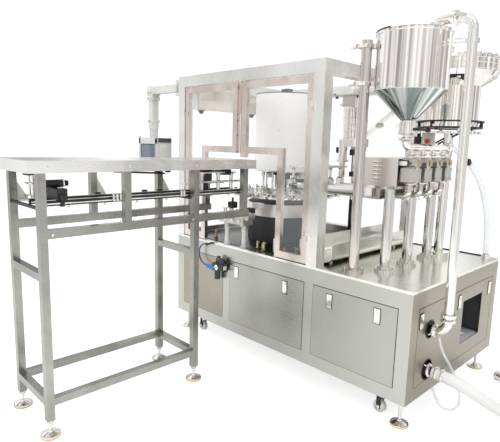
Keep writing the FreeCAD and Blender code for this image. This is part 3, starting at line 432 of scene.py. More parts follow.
class Shape:
    """Collects blocks, rods and turned forms in machine millimetres, then becomes one piece."""

    def __init__(self):
        self.bm = bmesh.new()

    def add(self, mesh_maker, matrix, bevel, segments=2):
        part = bmesh.new()
        mesh_maker(part)
        if bevel:
            sharp = [edge for edge in part.edges if edge.calc_face_angle(0) > 0.6]
            bmesh.ops.bevel(part, geom=sharp, offset=bevel, segments=segments, profile=0.6,
                            affect="EDGES", clamp_overlap=True)
        part.transform(matrix)
        scratch = bpy.data.meshes.new("scratch")
        part.to_mesh(scratch)
        part.free()
        self.bm.from_mesh(scratch)
        bpy.data.meshes.remove(scratch)
        return self

    def box(self, x, y, z, bevel=1.5, turn=0.0, tilt=0.0, axis="X"):
        """A block between two bounds on each axis, turned about Z and tilted about an axis."""
        size = Vector((x[1] - x[0], y[1] - y[0], z[1] - z[0]))
        middle = Vector(((x[0] + x[1]) / 2, (y[0] + y[1]) / 2, (z[0] + z[1]) / 2))

        def cube(part):
            bmesh.ops.create_cube(part, size=1)
            part.transform(Matrix.Diagonal((*size, 1)))
        matrix = (Matrix.Translation(middle) @ Matrix.Rotation(math.radians(turn), 4, "Z")
                  @ Matrix.Rotation(math.radians(tilt), 4, axis))
        return self.add(cube, matrix, min(bevel, 0.45 * min(size)))

    def turned(self, base, way, profile, sides=32, closed=True):
        """A form of revolution about a line, from the (radius, height) points of its outline."""
        if closed:
            profile = [*profile, profile[0]]

        def lathe(part):
            spine = [part.verts.new((radius, 0, height)) for radius, height in profile]
            for first, second in zip(spine, spine[1:]):
                part.edges.new((first, second))
            bmesh.ops.spin(part, geom=part.verts[:] + part.edges[:], cent=(0, 0, 0),
                           axis=(0, 0, 1), angle=math.tau, steps=sides, use_merge=True)
            bmesh.ops.remove_doubles(part, verts=part.verts, dist=1e-4)
            bmesh.ops.recalc_face_normals(part, faces=part.faces)
        return self.add(lathe, along(base, way), 0)

    def screw(self, base, way, *outline):
        """A small round screw head."""
        return self.turned(base, way, [(0, 0), *outline], 20)

    def rod(self, start, end, radius, bevel=0.8, sides=24):
        """A solid rod with eased ends between two points."""
        way = Vector(end) - Vector(start)
        ease = min(bevel, radius * 0.4, way.length * 0.4)
        profile = [(0, 0), (radius - ease, 0), (radius, ease), (radius, way.length - ease),
                   (radius - ease, way.length), (0, way.length)]
        return self.turned(start, way, profile, sides, closed=False)

    def upright(self, x, y, foot, top, radius, bevel=0.8):
        """A rod along Z, from its foot to its top or the other way about."""
        return self.rod((x, y, foot), (x, y, top), radius, bevel)

    def path(self, points, radius, bevel, sides=12):
        """Short rods end to end."""
        for first, second in zip(points, points[1:]):
            self.rod(first, second, radius, bevel, sides)

    def ring(self, base, way, outer, inner, width, ease=1.0, sides=40):
        """A flat ring with eased edges that grows from its base along a direction."""
        profile = [(inner, 0), (outer - ease, 0), (outer, ease), (outer, width - ease),
                   (outer - ease, width), (inner, width)]
        return self.turned(base, way, profile, sides)

    def hexagon(self, base, way, across, height):
        """A hexagon nut or bolt head."""
        def prism(part):
            bmesh.ops.create_cone(part, cap_ends=True, segments=6, radius1=across * 0.577,
                                  radius2=across * 0.577, depth=height)
            part.transform(Matrix.Translation((0, 0, height / 2)))
        return self.add(prism, along(base, way), height * 0.1, 1)

    def ball(self, centre, radius):
        def sphere(part):
            bmesh.ops.create_icosphere(part, subdivisions=3, radius=radius)
        return self.add(sphere, Matrix.Translation(Vector(centre)), 0)

    def prism(self, corners, way, bevel=0.8):
        """A flat plate from its corner points, thickened along a vector."""
        def slab(part):
            face = part.faces.new([part.verts.new(corner) for corner in corners])
            grown = bmesh.ops.extrude_face_region(part, geom=[face])
            moved = [item for item in grown["geom"] if isinstance(item, bmesh.types.BMVert)]
            bmesh.ops.translate(part, verts=moved, vec=way)
            bmesh.ops.recalc_face_normals(part, faces=part.faces)
        return self.add(slab, Matrix(), bevel)

    def piece(self, name, look, slot, body="machine"):
        self.bm.transform(Matrix.Translation(at(0, 0, 0)) @ Matrix.Diagonal((MM, MM, MM, 1)))
        mesh = bpy.data.meshes.new(name)
        self.bm.to_mesh(mesh)
        self.bm.free()
        mesh.polygons.foreach_set("use_smooth", [True] * len(mesh.polygons))
        mesh.set_sharp_from_angle(angle=SHARP_EDGE)
        mesh.materials.append(MATERIALS[look])
        thing = bpy.data.objects.new(name, mesh)
        bpy.context.scene.collection.objects.link(thing)
        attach(thing, body)


def clamp(shape, base, way, pipe, wing=None, thick=16):
    """A tri-clamp: two ferrule lips, a band round them and a wing nut on its bolt."""
    way = Vector(way).normalized()
    start = Vector(base) - way * thick / 2
    profile = [(pipe, -4), (pipe + 3, -4), (pipe + 10, 1), (pipe + 13, 3), (pipe + 13, thick - 3),
               (pipe + 10, thick - 1), (pipe + 3, thick + 4), (pipe, thick + 4)]
    shape.turned(start, way, profile, 40)
    if wing is None:
        return
    out = Vector(wing).normalized()
    side = way.cross(out)
    root = Vector(base) + out * (pipe + 12)
    shape.rod(root - side * 16, root + side * 22, 4)
    shape.rod(root + side * 10 - out * 2, root + side * 10 + out * 8, 6)
    for lean in (-1, 1):
        shape.rod(root + side * 18, root + side * 24 + out * 14 + way * lean * 12, 3.2)


# ---------------- cabinet
def panel_seams():
    """Dark gaps round the panels, wide at the top and on the latch side."""
    seams = Shape()
    (low_x, _, low_z), (_, _, high_z) = edges("left_panel")
    for node in ("left_panel", "right_panel"):
        (x0, _, z0), (x1, _, z1) = edges(node)
        seams.box((x0 - 2, x1 + 5), (-0.4, 1), (z1 + 0.3, z1 + 5), 0.2)
        seams.box((x1 + 0.3, x1 + 5), (-0.4, 1), (z0, z1 + 1), 0.2)
        seams.box((x0 - 2, x1 + 2), (-0.3, 1), (z0 - 2, z0 - 0.3), 0.1)
        seams.box((x0 - 1.7, x0 - 0.3), (-0.3, 1), (z0, z1), 0.1)
    (cabinet_left, _, _), (_, cabinet_rear, _) = edges("cabinet_frame")
    x0, x1 = cabinet_left + 82, low_x - 76
    seams.box((x0, x1 + 4), (-0.4, 1), (high_z + 0.3, high_z + 4), 0.2)
    seams.box((x1 + 0.3, x1 + 3), (-0.4, 1), (low_z, high_z + 1), 0.2)
    y0, y1 = 82, cabinet_rear - 82
    seams.box((-1, 0.4), (y0 - 3, y1 + 3), (high_z + 0.3, high_z + 4), 0.2)
    for y in ((y0 - 3, y0 - 0.3), (y1 + 0.3, y1 + 3)):
        seams.box((-1, 0.4), y, (low_z, high_z + 1), 0.1)
    seams.piece("panel_seams", "shade", "black")


panel_seams()


def latch(rims, locks, across, z, front):
    """Rim, lock barrel and finger lip of one paddle latch, on the cabinet's front or right end."""
    def bar(shape, wide, deep, high, bevel):
        x, y = (wide, deep) if front else (deep, wide)
        shape.box(x, y, high, bevel)

    rim_depth = (-1.6, 0.5) if front else (-0.5, 1.6)
    for low, high in ((-23, -19.4), (19.4, 23)):
        bar(rims, (across + low, across + high), rim_depth, span(z, 46), 0.6)
    for low, high in ((-46, -42.4), (42.4, 46)):
        bar(rims, span(across, 23), rim_depth, (z + low, z + high), 0.6)
    barrel = (across, -1.8, z + 24) if front else (4.3, across, z + 24)
    locks.ring(barrel, -Y if front else X, 9, 5, 2.2)
    bar(locks, span(across, 14), (-5, -1.5) if front else (4, 7.5), (z - 39, z - 34), 1.4)


def panel_latches():
    """Small parts of every paddle latch."""
    for side in ("left", "right"):
        rims, locks = Shape(), Shape()
        (x0, _, z0), (x1, _, z1) = edges(side + "_paddles")
        for x in (x0 + 19, x1 - 19):
            latch(rims, locks, x, (z0 + z1) / 2, front=True)
        rims.piece(side + "_latch_rims", "shade", "black", side + "_panel_leaf")
        locks.piece(side + "_latch_locks", "bright", "polished", side + "_paddle_pair")
    rims, locks = Shape(), Shape()
    (_, y0, z0), (_, y1, z1) = edges("end_paddles")
    for y in (y0 + 19, 614, y1 - 19):
        latch(rims, locks, y, (z0 + z1) / 2, front=False)
    rims.piece("end_latch_rims", "shade", "black")
    locks.piece("end_latch_locks", "bright", "polished", "end_paddle_set")


panel_latches()

FEET = [(x, y) for x in (-2012, -58) for y in (72, 1158)]
TABLE_FEET = [(x, y) for x in (-1646, -1244) for y in (-1407, -470)]


def feet():
    """Rubber rims, jam nuts and ball cups of the levelling feet."""
    rims, nuts = Shape(), Shape()
    for x, y in FEET + TABLE_FEET:
        rims.turned((x, y, 0.4), Z, [(40, 0), (50.5, 0), (52, 2), (52, 7), (50.5, 9), (44, 9)], 48)
        nuts.turned((x, y, 13), Z, [(9.2, 0), (24, 0), (22, 5), (15, 9), (13, 22), (9.2, 24)])
        top = 157 if y > 0 else 90
        nuts.hexagon((x, y, top - 26), Z, 28, 13)
        nuts.ring((x, y, top - 12.5), Z, 19, 9.2, 3)
    rims.piece("foot_rims", "rubber", "black")
    nuts.piece("foot_nuts", "bright", "stainless")


def casters():
    """Hub caps, axle nuts and mounting bolts of the four casters."""
    for side, x in (("left", -1865), ("right", -205)):
        for end, y in (("front", 110), ("rear", 1120)):
            name = side + "_" + end
            hubs, fork, plate = Shape(), Shape(), Shape()
            for way in (-1, 1):
                hubs.turned((x, y + way * 13.8, 39), (0, way, 0),
                            [(6, 0), (24, 0), (24, 0.6), (15, 1.6), (12, 3.2), (6, 3.4)])
                hubs.ring((x, y + way * 13.8, 39), (0, way, 0), 33, 30, 0.9, 0.3)
                fork.hexagon((x, y + way * 24, 39), (0, way, 0), 15, 6)
                fork.ring((x, y + way * 24, 39), (0, way, 0), 11, 5.2, 1.4, 0.4)
            for dx in (-32, 32):
                for dy in (-26, 26):
                    plate.hexagon((x + dx, y + dy, 147.5), -Z, 11, 5)
            hubs.piece("caster_hubs_" + name, "bright", "polished", "wheel_" + name)
            fork.piece("caster_axle_nuts_" + name, "bright", "polished", "fork_" + name)
            plate.piece("caster_bolts_" + name, "bright", "polished")


feet()
casters()


# ---------------- end face
def end_face():
    """Hole rims, pipe clamps and hose clamps on the cabinet's right end."""
    rims, fittings = Shape(), Shape()
    for z, radius in ((542, 52), (302, 60)):
        rims.turned((-1.5, 232, z), X,
                    [(radius - 3, 0), (radius - 3, 4), (radius + 1, 4.2), (radius + 3, 2.8),
                     (radius + 3, 1.5)], 56)
    rims.piece("hole_grommets", "black", "black")
    clamp(fittings, (94.8, 232, 618), Z, 25.4, wing=(0.3, 1, 0.1))
    clamp(fittings, (26, 232, 542), X, 25.4, wing=(0, -1, 0.2))
    clamp(fittings, (12, 232, 301), X, 25.4, wing=(0, -0.3, 1))
    for start in ((50, 233.2, 298.4), (84, 235.6, 294.6)):
        way = Vector((1, 0.06, -0.1)).normalized()
        fittings.turned(start, way, [(32.6, 0), (34.6, 0), (35, 1), (35, 12), (34.6, 13),
                                     (32.6, 13)], 48)
        fittings.box((start[0] - 3, start[0] + 15), (start[1] - 13, start[1] + 9),
                     (start[2] + 34, start[2] + 44), 2)
        fittings.rod((start[0] + 5, start[1] - 22, start[2] + 39),
                     (start[0] + 5, start[1] - 12, start[2] + 39), 4.5)
    fittings.piece("end_pipe_clamps", "bright", "polished")


def service_window():
    """What shows in the dark service window: liner, floor plate, a bright bar and a blue cell."""
    back, floor, bar, cell = Shape(), Shape(), Shape(), Shape()
    back.box((-420, -412), (640, 1016), (300, 640), 2)
    back.box((-412, -8), (1008, 1016), (300, 640), 2)
    back.piece("window_liner", "dark", "dark")
    floor.box((-412, -8), (672, 1008), (312, 318), 1)
    floor.box((-412, -8), (664, 672), (300, 330), 1)
    floor.piece("window_floor", "case", "stainless")
    bar.box((-190, -40), (812, 836), (330, 342), 2, turn=24)
    bar.box((-150, -120), (790, 860), (318, 330), 2, turn=24)
    bar.piece("window_bar", "white", "polished")
    cell.box((-64, -30), (686, 708), (462, 520), 5)
    cell.box((-58, -36), (690, 704), (520, 530), 3)
    cell.piece("window_cell", "azure", "blue_hose")


end_face()
service_window()


# ---------------- air unit on the front
def air_unit_trim():
    """Gauge, plugs, tubes and a ribbed knob on the air unit."""
    gauge, face, tubes, caps = Shape(), Shape(), Shape(), Shape()
    gauge.turned((-1505, -57, 636), -Y,
                 [(6, 0), (19, 0), (20, 1), (20, 12), (18, 13.5), (17, 12), (6, 12)], 40)
    gauge.box((-1452, -1444), (-48, -18), (620, 652), 2)
    gauge.hexagon((-1562, -30, 637), -X, 17, 12)
    gauge.piece("air_unit_fittings", "bright", "polished")
    face.turned((-1505, -68, 636), -Y, [(0, 0), (17, 0), (17, 0.8), (0, 0.8)], 40)
    face.piece("air_gauge_face", "dark", "dark")
    for step, (dx, dz) in enumerate(((0, 0), (7, -8), (-6, -10), (2, -19))):
        tubes.rod((-1612 + dx, -62 - 3 * step, 640 + dz), (-1524 + dx, -66 - 3 * step, 632 + dz), 5)
    tubes.piece("air_unit_tubes", "azure", "blue_hose")
    caps.upright(-1520, -30, 700, 712, 15, 3)
    for turn in range(0, 360, 36):
        x, y, _ = around((-1520, -30), 19.6, turn)
        caps.box(span(x, 2), span(y, 2), (668, 696), 1)
    caps.piece("air_unit_knob_ribs", "black", "black")


air_unit_trim()


# ---------------- enclosure
DOOR_PINS = {"left": -1988.5, "right": -724.5}


def door_trim():
    """Hinge plates, mitre seams and dark door gaps."""
    for side, pin in DOOR_PINS.items():
        way = 1 if side == "right" else -1
        fixed, moving, seams = Shape(), Shape(), Shape()
        for z in (985, 1774):
            for plate, out, front in ((fixed, way, -1.8), (moving, -way, 3.2)):
                plate.box(sorted((pin + out * 3, pin + out * 30)), (front, front + 1.8),
                          span(z, 28), 0.6)
                for step in (-18, 0, 18):
                    plate.screw((pin + out * 18, front, z + step), -Y, (4.5, 0), (3.4, 1.5), (0, 1.9))
        fixed.piece(side + "_hinge_plates", "bright", "stainless")
        moving.piece(side + "_door_hinge_plates", "bright", "stainless", side + "_door_leaf")
        (x0, _, _), (x1, _, z1) = edges(side + "_door")
        leaf = sorted((pin - way * 4, (x0 if side == "right" else x1)))
        for x, lean in ((leaf[0] + 22.5, -45), (leaf[1] - 22.5, 45)):
            seams.box(span(x, 31), (4.6, 5.2), (z1 - 22.9, z1 - 22.1), 0.1, tilt=lean, axis="Y")
        seams.piece(side + "_door_mitres", "shade", "stainless", side + "_door_leaf")
    gaps = Shape()
    for x in ((-723.2, -720.6), (-1990, -1988.6)):
        gaps.box(x, (14, 34), (806, 1955), 0.3)
    gaps.piece("door_gaps", "shade", "black")


def enclosure_trim():
    """Mullion cover with its bolts, cable trunk, its glands, and bolts along the beams."""
    strip, bolts, trunk, glands = Shape(), Shape(), Shape(), Shape()
    strip.box((-1388, -1346), (35.6, 38.2), (1447, 1960), 0.8)
    strip.piece("mullion_cover", "cover", "stainless")
    for z in (1925, 1742, 1700, 1600, 1480):
        bolts.turned((-1367, 35.6, z), -Y, [(0, 0), (7, 0), (6, 3), (3, 4), (0, 4)])
    for x in (-1299, -1102):
        bolts.upright(x, 1000, 1962, 1940, 9)
        bolts.hexagon((x, 1000, 1944), -Z, 20, 8)
    bolts.piece("mullion_bolts", "black", "black")
    trunk.box((-2009, -2004), (150, 800), (1812, 1950), 2)
    trunk.box((-2010, -2000), (140, 810), (1950, 1958), 2)
    trunk.box((-2010, -2000), (140, 810), (1803, 1810), 2)
    for y in (180, 470, 770):
        trunk.ball((-2003, y, 1880), 5)
    trunk.piece("trunk_cover", "door", "stainless")
    for y in (190, 760):
        glands.upright(-2024, y, 1800, 1772, 15)
        glands.hexagon((-2024, y, 1790), -Z, 34, 10)
        glands.box((-2044, -2004), span(y, 20), (1790, 1801), 3)
    glands.piece("trunk_glands", "black", "black")


door_trim()
enclosure_trim()


# ---------------- turret
def round_turret(radius, turn, height=0.0):
    return around(AXIS, radius, turn, height)


def drum_trim():
    """Top plate edge, hanger and fixing screws of the drum cover."""
    ring, screws = Shape(), Shape()
    ring.ring((*AXIS, 1915), Z, 238.5, 150, 6, 1.5, 96)
    ring.box(span(AXIS[0], 34), span(AXIS[1], 30), (1918, 1966), 3)
    ring.piece("drum_top_plate", "dark", "dark")
    for turn in (-60.7, -5.4, 60, 150, 230):
        for z in (1644, 1890, 1375):
            way = round_turret(1, turn)
            out = (way[0] - AXIS[0], way[1] - AXIS[1], 0)
            screws.screw(round_turret(235.6, turn, z), out, (6, 0), (5, 2.4), (2.4, 3.2), (0, 3.2))
    screws.ring((*AXIS, 1336), Z, 237.6, 235.4, 9, 0.6, 96)
    screws.piece("drum_screws", "bright", "stainless")


def turret_trim():
    """Air cylinders, spring rods and finger pads that turn with the disc."""
    barrels, caps, pads, posts = Shape(), Shape(), Shape(), Shape()
    for turn in range(0, 360, 20):
        barrels.rod(round_turret(300, turn, 1161), round_turret(300, turn, 1202), 10, 1.5)
        barrels.rod(round_turret(350, turn, 1173), round_turret(350, turn, 1188), 6, 1.5)
        caps.rod(round_turret(300, turn, 1202), round_turret(300, turn, 1211), 7, 1.5)
        for way in (-1.9, 1.9):
            pads.rod(round_turret(430, turn + way, 1173), round_turret(430, turn + way, 1181), 7, 2)
    for turn in range(0, 360, 45):
        posts.ring(round_turret(165, turn, 1161), Z, 17, 9, 26, 2)
        posts.ring(round_turret(165, turn, 1290), Z, 14, 9, 34, 2)
    barrels.ring((*AXIS, 1161), Z, 236, 206, 10, 2, 72)
    barrels.ring((*AXIS, 1161), Z, 396.5, 392, 2.4, 0.8, 96)
    barrels.piece("gripper_cylinders", "bright", "polished", "turret")
    caps.piece("gripper_caps", "cast", "polished", "turret")
    pads.piece("gripper_pads", "black", "black", "turret")
    posts.piece("spring_collars", "cast", "stainless", "turret")


def turret_plumbing():
    """A dark manifold ring under the drum, its white outlets, sensors, and fittings on the deck."""
    dark, white, fittings = Shape(), Shape(), Shape()
    dark.ring((*AXIS, 1310), Z, 132, 60, 30, 3, 60)
    dark.box((-1292, -1244), (384, 424), (1288, 1337), 4)
    dark.box((-1010, -962), (205, 240), (1290, 1316), 4)
    dark.piece("cam_ring_parts", "black", "black")
    for turn in range(-80, 30, 22):
        white.rod(round_turret(118, turn, 1230), round_turret(118, turn, 1312), 9, 2)
    white.box((-1330, -1262), (118, 170), (1078, 1122), 5)
    white.upright(-1075, 96, 806, 900, 13, 3)
    white.piece("white_fittings", "white", "white_case")
    for x, y, tall in ((-1240, 92, 60), (-1206, 110, 46), (-1168, 84, 66), (-1010, 120, 40),
                       (-930, 150, 56), (-1720, 110, 70)):
        fittings.upright(x, y, 800, 800 + tall, 9, 2)
        fittings.hexagon((x, y, 806), Z, 26, 12)
        fittings.rod((x, y, 800 + tall - 12), (x + 26, y - 10, 800 + tall - 6), 6, 2)
    fittings.piece("deck_fittings", "brass", "polished")


def deck_shade_plate():
    """A dark sheet on the deck round the turret, which is painted shade and reflection, with screws on
    it, and the drive's steel skirt.
    """
    plate, screws, skirt = Shape(), Shape(), Shape()
    skirt.ring((*AXIS, 1000), Z, 279, 276, 96, 1, 96)
    skirt.piece("drive_skirt", "cover", "stainless")
    # A dark sheet laid on the deck where the deck shows only shade and dark reflection: painted shade.
    plate.box((-1980, -735), (44, 1150), (800, 804), 1)
    plate.piece("painted_deck_shade", "deck_shade_paint", "dark")
    for x in (-1950, -1560, -1170, -765):
        for y in (66, 590, 1128):
            screws.screw((x, y, 804), Z, (8, 0), (8, 5), (6, 6), (0, 6))
    screws.piece("shade_sheet_screws", "bright", "stainless")


deck_shade_plate()
drum_trim()
turret_trim()
turret_plumbing()


def transfer_trim():
    """White sleeves, collars, rollers and end blocks of the pouch transfer."""
    sleeves, blocks, rollers = Shape(), Shape(), Shape()
    for x, y in ((-1500, 30), (-1340, 50)):
        sleeves.turned((x, y, 800), Z,
                       [(12.2, 0), (26, 0), (26, 8), (17, 11), (17, 62), (15, 64), (15, 120),
                        (18, 122), (18, 150), (12.2, 152)])
        blocks.ring((x, y, 952), Z, 24, 12.2, 17, 2)
        blocks.hexagon((x + 20, y - 10, 936), (1, -0.5, 0), 12, 9)
    sleeves.piece("transfer_sleeves", "white", "white_case")
    for x in (-1536, -1470, -1400, -1326):
        rollers.turned((x, 40, 1034), Z,
                       [(0, 0), (20, 0), (20, 6), (13, 10), (13, 26), (18, 30), (18, 38), (0, 40)])
        rollers.rod((x, -8, 1000), (x, -22, 1000), 9, 2)
    rollers.piece("transfer_rollers", "bright", "polished")
    blocks.box((-1300, -1250), (0, 70), (1010, 1064), 5)
    blocks.box((-1560, -1516), (-14, -6), (978, 1028), 3)
    blocks.box((-1440, -1380), (-14, -6), (978, 1028), 3)
    blocks.piece("transfer_blocks", "cast", "stainless")
    dark = Shape()
    dark.box((-1290, -1236), (16, 56), (1064, 1098), 4)
    dark.box((-1500, -1446), (30, 80), (1074, 1120), 4)
    dark.upright(-1473, 55, 1120, 1150, 8)
    dark.piece("transfer_sensors", "black", "black")


transfer_trim()


# ---------------- capping station
def capping_trim():
    """Ribbed motor housing, its hanger plate, sensors on the shelf and column collars."""
    ribs, plates, dark = Shape(), Shape(), Shape()
    motor = (-1025, 879)
    for z in (1606, 1650, 1700, 1750, 1800, 1818):
        ribs.ring((*motor, z), Z, 82, 77, 9, 2, 56)
    for turn in range(0, 360, 30):
        ribs.rod(around(motor, 66, turn, 1830), around(motor, 66, turn, 1836), 5, 1)
    ribs.ring((-1085, 849, 1424), Z, 48, 45, 12, 2, 48)
    ribs.piece("capping_ribs", "bright", "polished")
    plates.box((-1250, -740), (826, 934), (1922, 1934), 3)
    plates.box((-1110, -1000), (842, 850), (1840, 1924), 2)
    for x in (-1119, -1078, -1001):
        plates.hexagon((x, 842, 1856), -Y, 14, 6)
    for x in (-1015, -953):
        plates.ring((x, 909, 800), Z, 42, 21.2, 16, 2)
        plates.ring((x, 909, 1512), Z, 34, 21.2, 28, 2)
    plates.piece("capping_plates", "cast", "stainless")
    dark.box((-1142, -1108), (834, 866), (1490, 1534), 4)
    dark.box((-1012, -980), (830, 850), (1474, 1520), 4)
    dark.box((-1012, -986), (838, 862), (1312, 1350), 4)
    dark.upright(-996, 850, 1350, 1474, 4)
    dark.ring((-1015, 909, 1200), Z, 33, 21.4, 34, 3)
    dark.ring((-1015, 909, 830), Z, 22.4, 21.1, 300, 0.6)
    for x in (-1190, -1001):
        dark.upright(x, 880, 1922, 1908, 11)
    dark.piece("capping_sensors", "black", "black")


def cap_bowl_trim():
    """Bands, sorting lugs, drive parts and control box of the cap bowl, and its clear cover."""
    bands, dark, lugs, red, white, cover = (Shape() for _ in range(6))
    bowl, drive = (-300, 930), (-310, 950)
    for z in (2030, 2064, 2092):
        bands.ring((*bowl, z), Z, 273.5, 268, 8, 2, 96)
    for step in range(16):
        turn = -62 + step * 8
        x, y, z = around(bowl, 262, turn, 2100)
        lugs.box(span(x, 9), span(y, 15), (2094 + 5 * (step % 3), 2118 + 6 * (step % 2)),
                 2, turn=turn)
        lugs.rod((x, y, z), around((x, y), 14, turn, 2106), 5, 1)
    lugs.piece("bowl_lugs", "bright", "polished")
    for turn in range(0, 360, 20):
        x, y, _ = around(bowl, 236, turn)
        bands.box(span(x, 4), span(y, 12), (1975, 2000), 2, turn=turn, tilt=38, axis="Y")
    bands.piece("bowl_bands", "bright", "polished")
    dark.ring((*drive, 1716), Z, 214, 176, 9, 2, 72)
    dark.ring((*drive, 1676), Z, 206, 170, 9, 2, 72)
    for turn in range(20, 380, 60):
        dark.rod(around(drive, 194, turn, 1684), around(drive, 194, turn, 1718), 10, 2)
    dark.box((-520, -476), (880, 930), (1568, 1622), 5)
    dark.upright(-498, 905, 1622, 1676, 13, 3)
    dark.rod((-386, 925, 1579), (-245, 935, 1663), 6, 2)
    dark.rod((-374, 938, 1572), (-228, 944, 1650), 6, 2)
    dark.piece("bowl_drive_parts", "black", "black")
    white.box((-466, -384), (880, 916), (1566, 1640), 5)
    white.piece("bowl_control_box", "white", "white_case")
    red.turned((-418, 880, 1590), -Y,
               [(0, 0), (10, 0), (10, 6), (17, 9), (17, 18), (13, 23), (0, 24)])
    red.piece("bowl_stop_knob", "red", "dark")
    cover.turned((*bowl, 2098), Z,
                 [(266, 0), (266, 18), (240, 34), (150, 46), (0, 50), (0, 47), (150, 43),
                  (238, 31), (263, 17), (263, 0)], 72)
    cover.piece("bowl_cover", "glass", "clear")


def chute_clip():
    clip = Shape()
    clip.box((-812, -778), (846, 908), (1684, 1714), 4, tilt=-40, axis="Y")
    clip.rod((-795, 838, 1706), (-795, 862, 1706), 7, 2)
    clip.piece("chute_clip", "cast", "stainless")


capping_trim()
cap_bowl_trim()
chute_clip()


# ---------------- hopper
def hopper_trim():
    """Rim roll, gasket, weld bands, clamps on the neck and gooseneck, and the riser's stay."""
    rim, gasket, clamps = Shape(), Shape(), Shape()
    rim.turned((*HOP, 2144), Z, [(198, 0), (202, 1), (204, 5), (204, 9), (202, 12), (198, 13)], 96)
    rim.turned((*HOP, 1851), Z, [(198, 0), (199.6, 2), (199.6, 6), (198, 8)], 96)
    rim.turned((*HOP, 1680), Z, [(30, 0), (37, 0), (39, 3), (38, 12), (31, 15)], 48)
    for turn in (18, 52):
        x, y, _ = around(HOP, 203, turn)
        rim.box(span(x, 9), span(y, 8), (2048, 2076), 2, turn=turn)
    rim.piece("hopper_rims", "bright", "polished")
    gasket.turned((*HOP, 2157.4), Z, [(196, 0), (203.4, 0), (203.4, 2.2), (196, 2.2)], 96)
    gasket.piece("hopper_gasket", "black", "black")
    for z, pipe, wing in ((1666, 33, (-0.9, -0.5, 0)), (1626, 33, (-0.6, -0.8, 0)),
                          (1590, 22, (-0.9, -0.4, 0))):
        clamp(clamps, (*HOP, z), Z, pipe, wing, 15)
    clamp(clamps, (-2, 232, 2198), X, 25.2, wing=(0, -0.6, 0.8))
    clamp(clamps, (-118, 232, 2180), Z, 25.2)
    clamps.turned((-118, 232, 2164), Z,
                  [(25.4, 0), (52, 0), (52, 4), (44, 6), (34, 9), (30, 16), (25.4, 16)])
    clamp(clamps, (HOP[0], 800, 1545), Y, 22, wing=(0.6, 0, 0.8), thick=15)
    clamps.piece("hopper_clamps", "bright", "polished")
    bail = Shape()
    bail.rod((-40, 232, 2094), (46, 232, 2094), 4)
    bail.hexagon((-44, 232, 2094), X, 15, 8)
    bail.piece("riser_stay", "bright", "polished")


def lid_trim():
    """Black edge trim, handle and knob of the opening half of the lid."""
    trim, handle = Shape(), Shape()
    trim.path([around(HOP, 200.5, turn, 2165) for turn in range(128, 262, 6)], 4.6, 0.3)
    trim.piece("lid_edge_trim", "black", "black", "lid")
    for x, y in ((-330, 150), (-368, 226)):
        handle.upright(x, y, 2160, 2190, 6)
    handle.rod((-326, 142, 2187), (-372, 234, 2187), 6, 2)
    handle.turned((-300, 120, 2160), Z, [(0, 0), (22, 0), (22, 4), (12, 6), (10, 14), (0, 14)])
    handle.piece("lid_handle", "white", "polished", "lid")


def post_trim():
    """Strap pins, cap and base bolts of the hopper post."""
    pins, bolts = Shape(), Shape()
    for z in (1892, 2096):
        for y in (110, 134):
            pins.rod((-492, y, z), (-556, y, z), 5.5, 1.5)
            pins.hexagon((-496, y, z), -X, 15, 7)
        pins.box((-500, -410), (74, 84), span(z, 11), 2)
    pins.turned((-455, 122, 2122), Z, [(0, 0), (31, 0), (33, 2), (33, 7), (30, 9), (0, 9)], 40)
    pins.piece("post_straps", "bright", "polished")
    for turn in (45, 135, 225, 315):
        bolts.hexagon(around((-455, 122), 50, turn, 814), Z, 14, 8)
        for y in (270, 540, 815):
            bolts.hexagon(around((-330, y), 53, turn, 816), Z, 14, 8)
    bolts.piece("flange_bolts", "bright", "stainless")


hopper_trim()
lid_trim()
post_trim()


# ---------------- piston filler
LANES = [330 + 138 * step for step in range(4)]


def filler_trim():
    """Clamps on every drop and outlet, housing rings, louvre lips and the little sight frame."""
    clamps, rings, lips, frame_bars, sight = (Shape() for _ in range(5))
    for y in LANES:
        clamp(clamps, (-245, y, 1508), Z, 15.2, thick=13)
        clamp(clamps, (-243, y, 1334), Z, 16.2, wing=(1, -0.5, 0.1), thick=13)
        clamp(clamps, (-336, y, 1258), X, 16.2, wing=(0, -0.8, -0.9), thick=13)
        clamp(clamps, (-252, y, 1268), (0.7, 0, -0.7), 16.2, wing=(0.6, -0.5, -0.4), thick=12)
        rings.turned((-200, y, 1455), X,
                     [(12, -6), (33, -6), (34, -4), (34, 0), (30, 2), (24, 2), (23, 5), (12, 5)], 48)
        for dy in (-34, 34):
            for z in (1357, 1414):
                rings.screw((-200, y + dy, z), X, (6, 0), (6, 4), (3, 4.5), (0, 3))
    clamps.ring((-200, LANES[3], 1347), X, 6, 2, 6, 1)
    clamps.piece("outlet_clamps", "bright", "polished")
    rings.piece("housing_rings", "cast", "stainless")
    pull = Shape()
    loop = [around((762, 1340), 13, turn) for turn in range(0, 361, 20)]
    pull.path([(-180, y, z) for y, z, _ in loop], 2.2, 0.1)
    pull.rod((-200, 762, 1340), (-178, 762, 1352), 3)
    pull.piece("pull_ring", "bright", "polished")
    for step in range(5):
        z = 1352 + 24 * step
        lips.turned((-448, 262, z + 8), X, [(0, 0), (5, 2), (6, 6), (6, 47), (5, 51), (0, 53)], 24)
    lips.piece("louvre_lips", "bright", "stainless")
    x0, x1, z0, z1 = -300, -232, 1434, 1472
    for x, z in (((x0, x1), (z0, z0 + 6)), ((x0, x1), (z1 - 6, z1)),
                 ((x0, x0 + 7), (z0, z1)), ((x1 - 7, x1), (z0, z1))):
        frame_bars.box(x, (276, 283), z, 1)
    frame_bars.piece("sight_frame", "black", "black")
    sight.box((x0 + 5, x1 - 5), (279, 283), (z0 + 4, z1 - 4), 1)
    sight.piece("sight_plate", "white", "white_case")


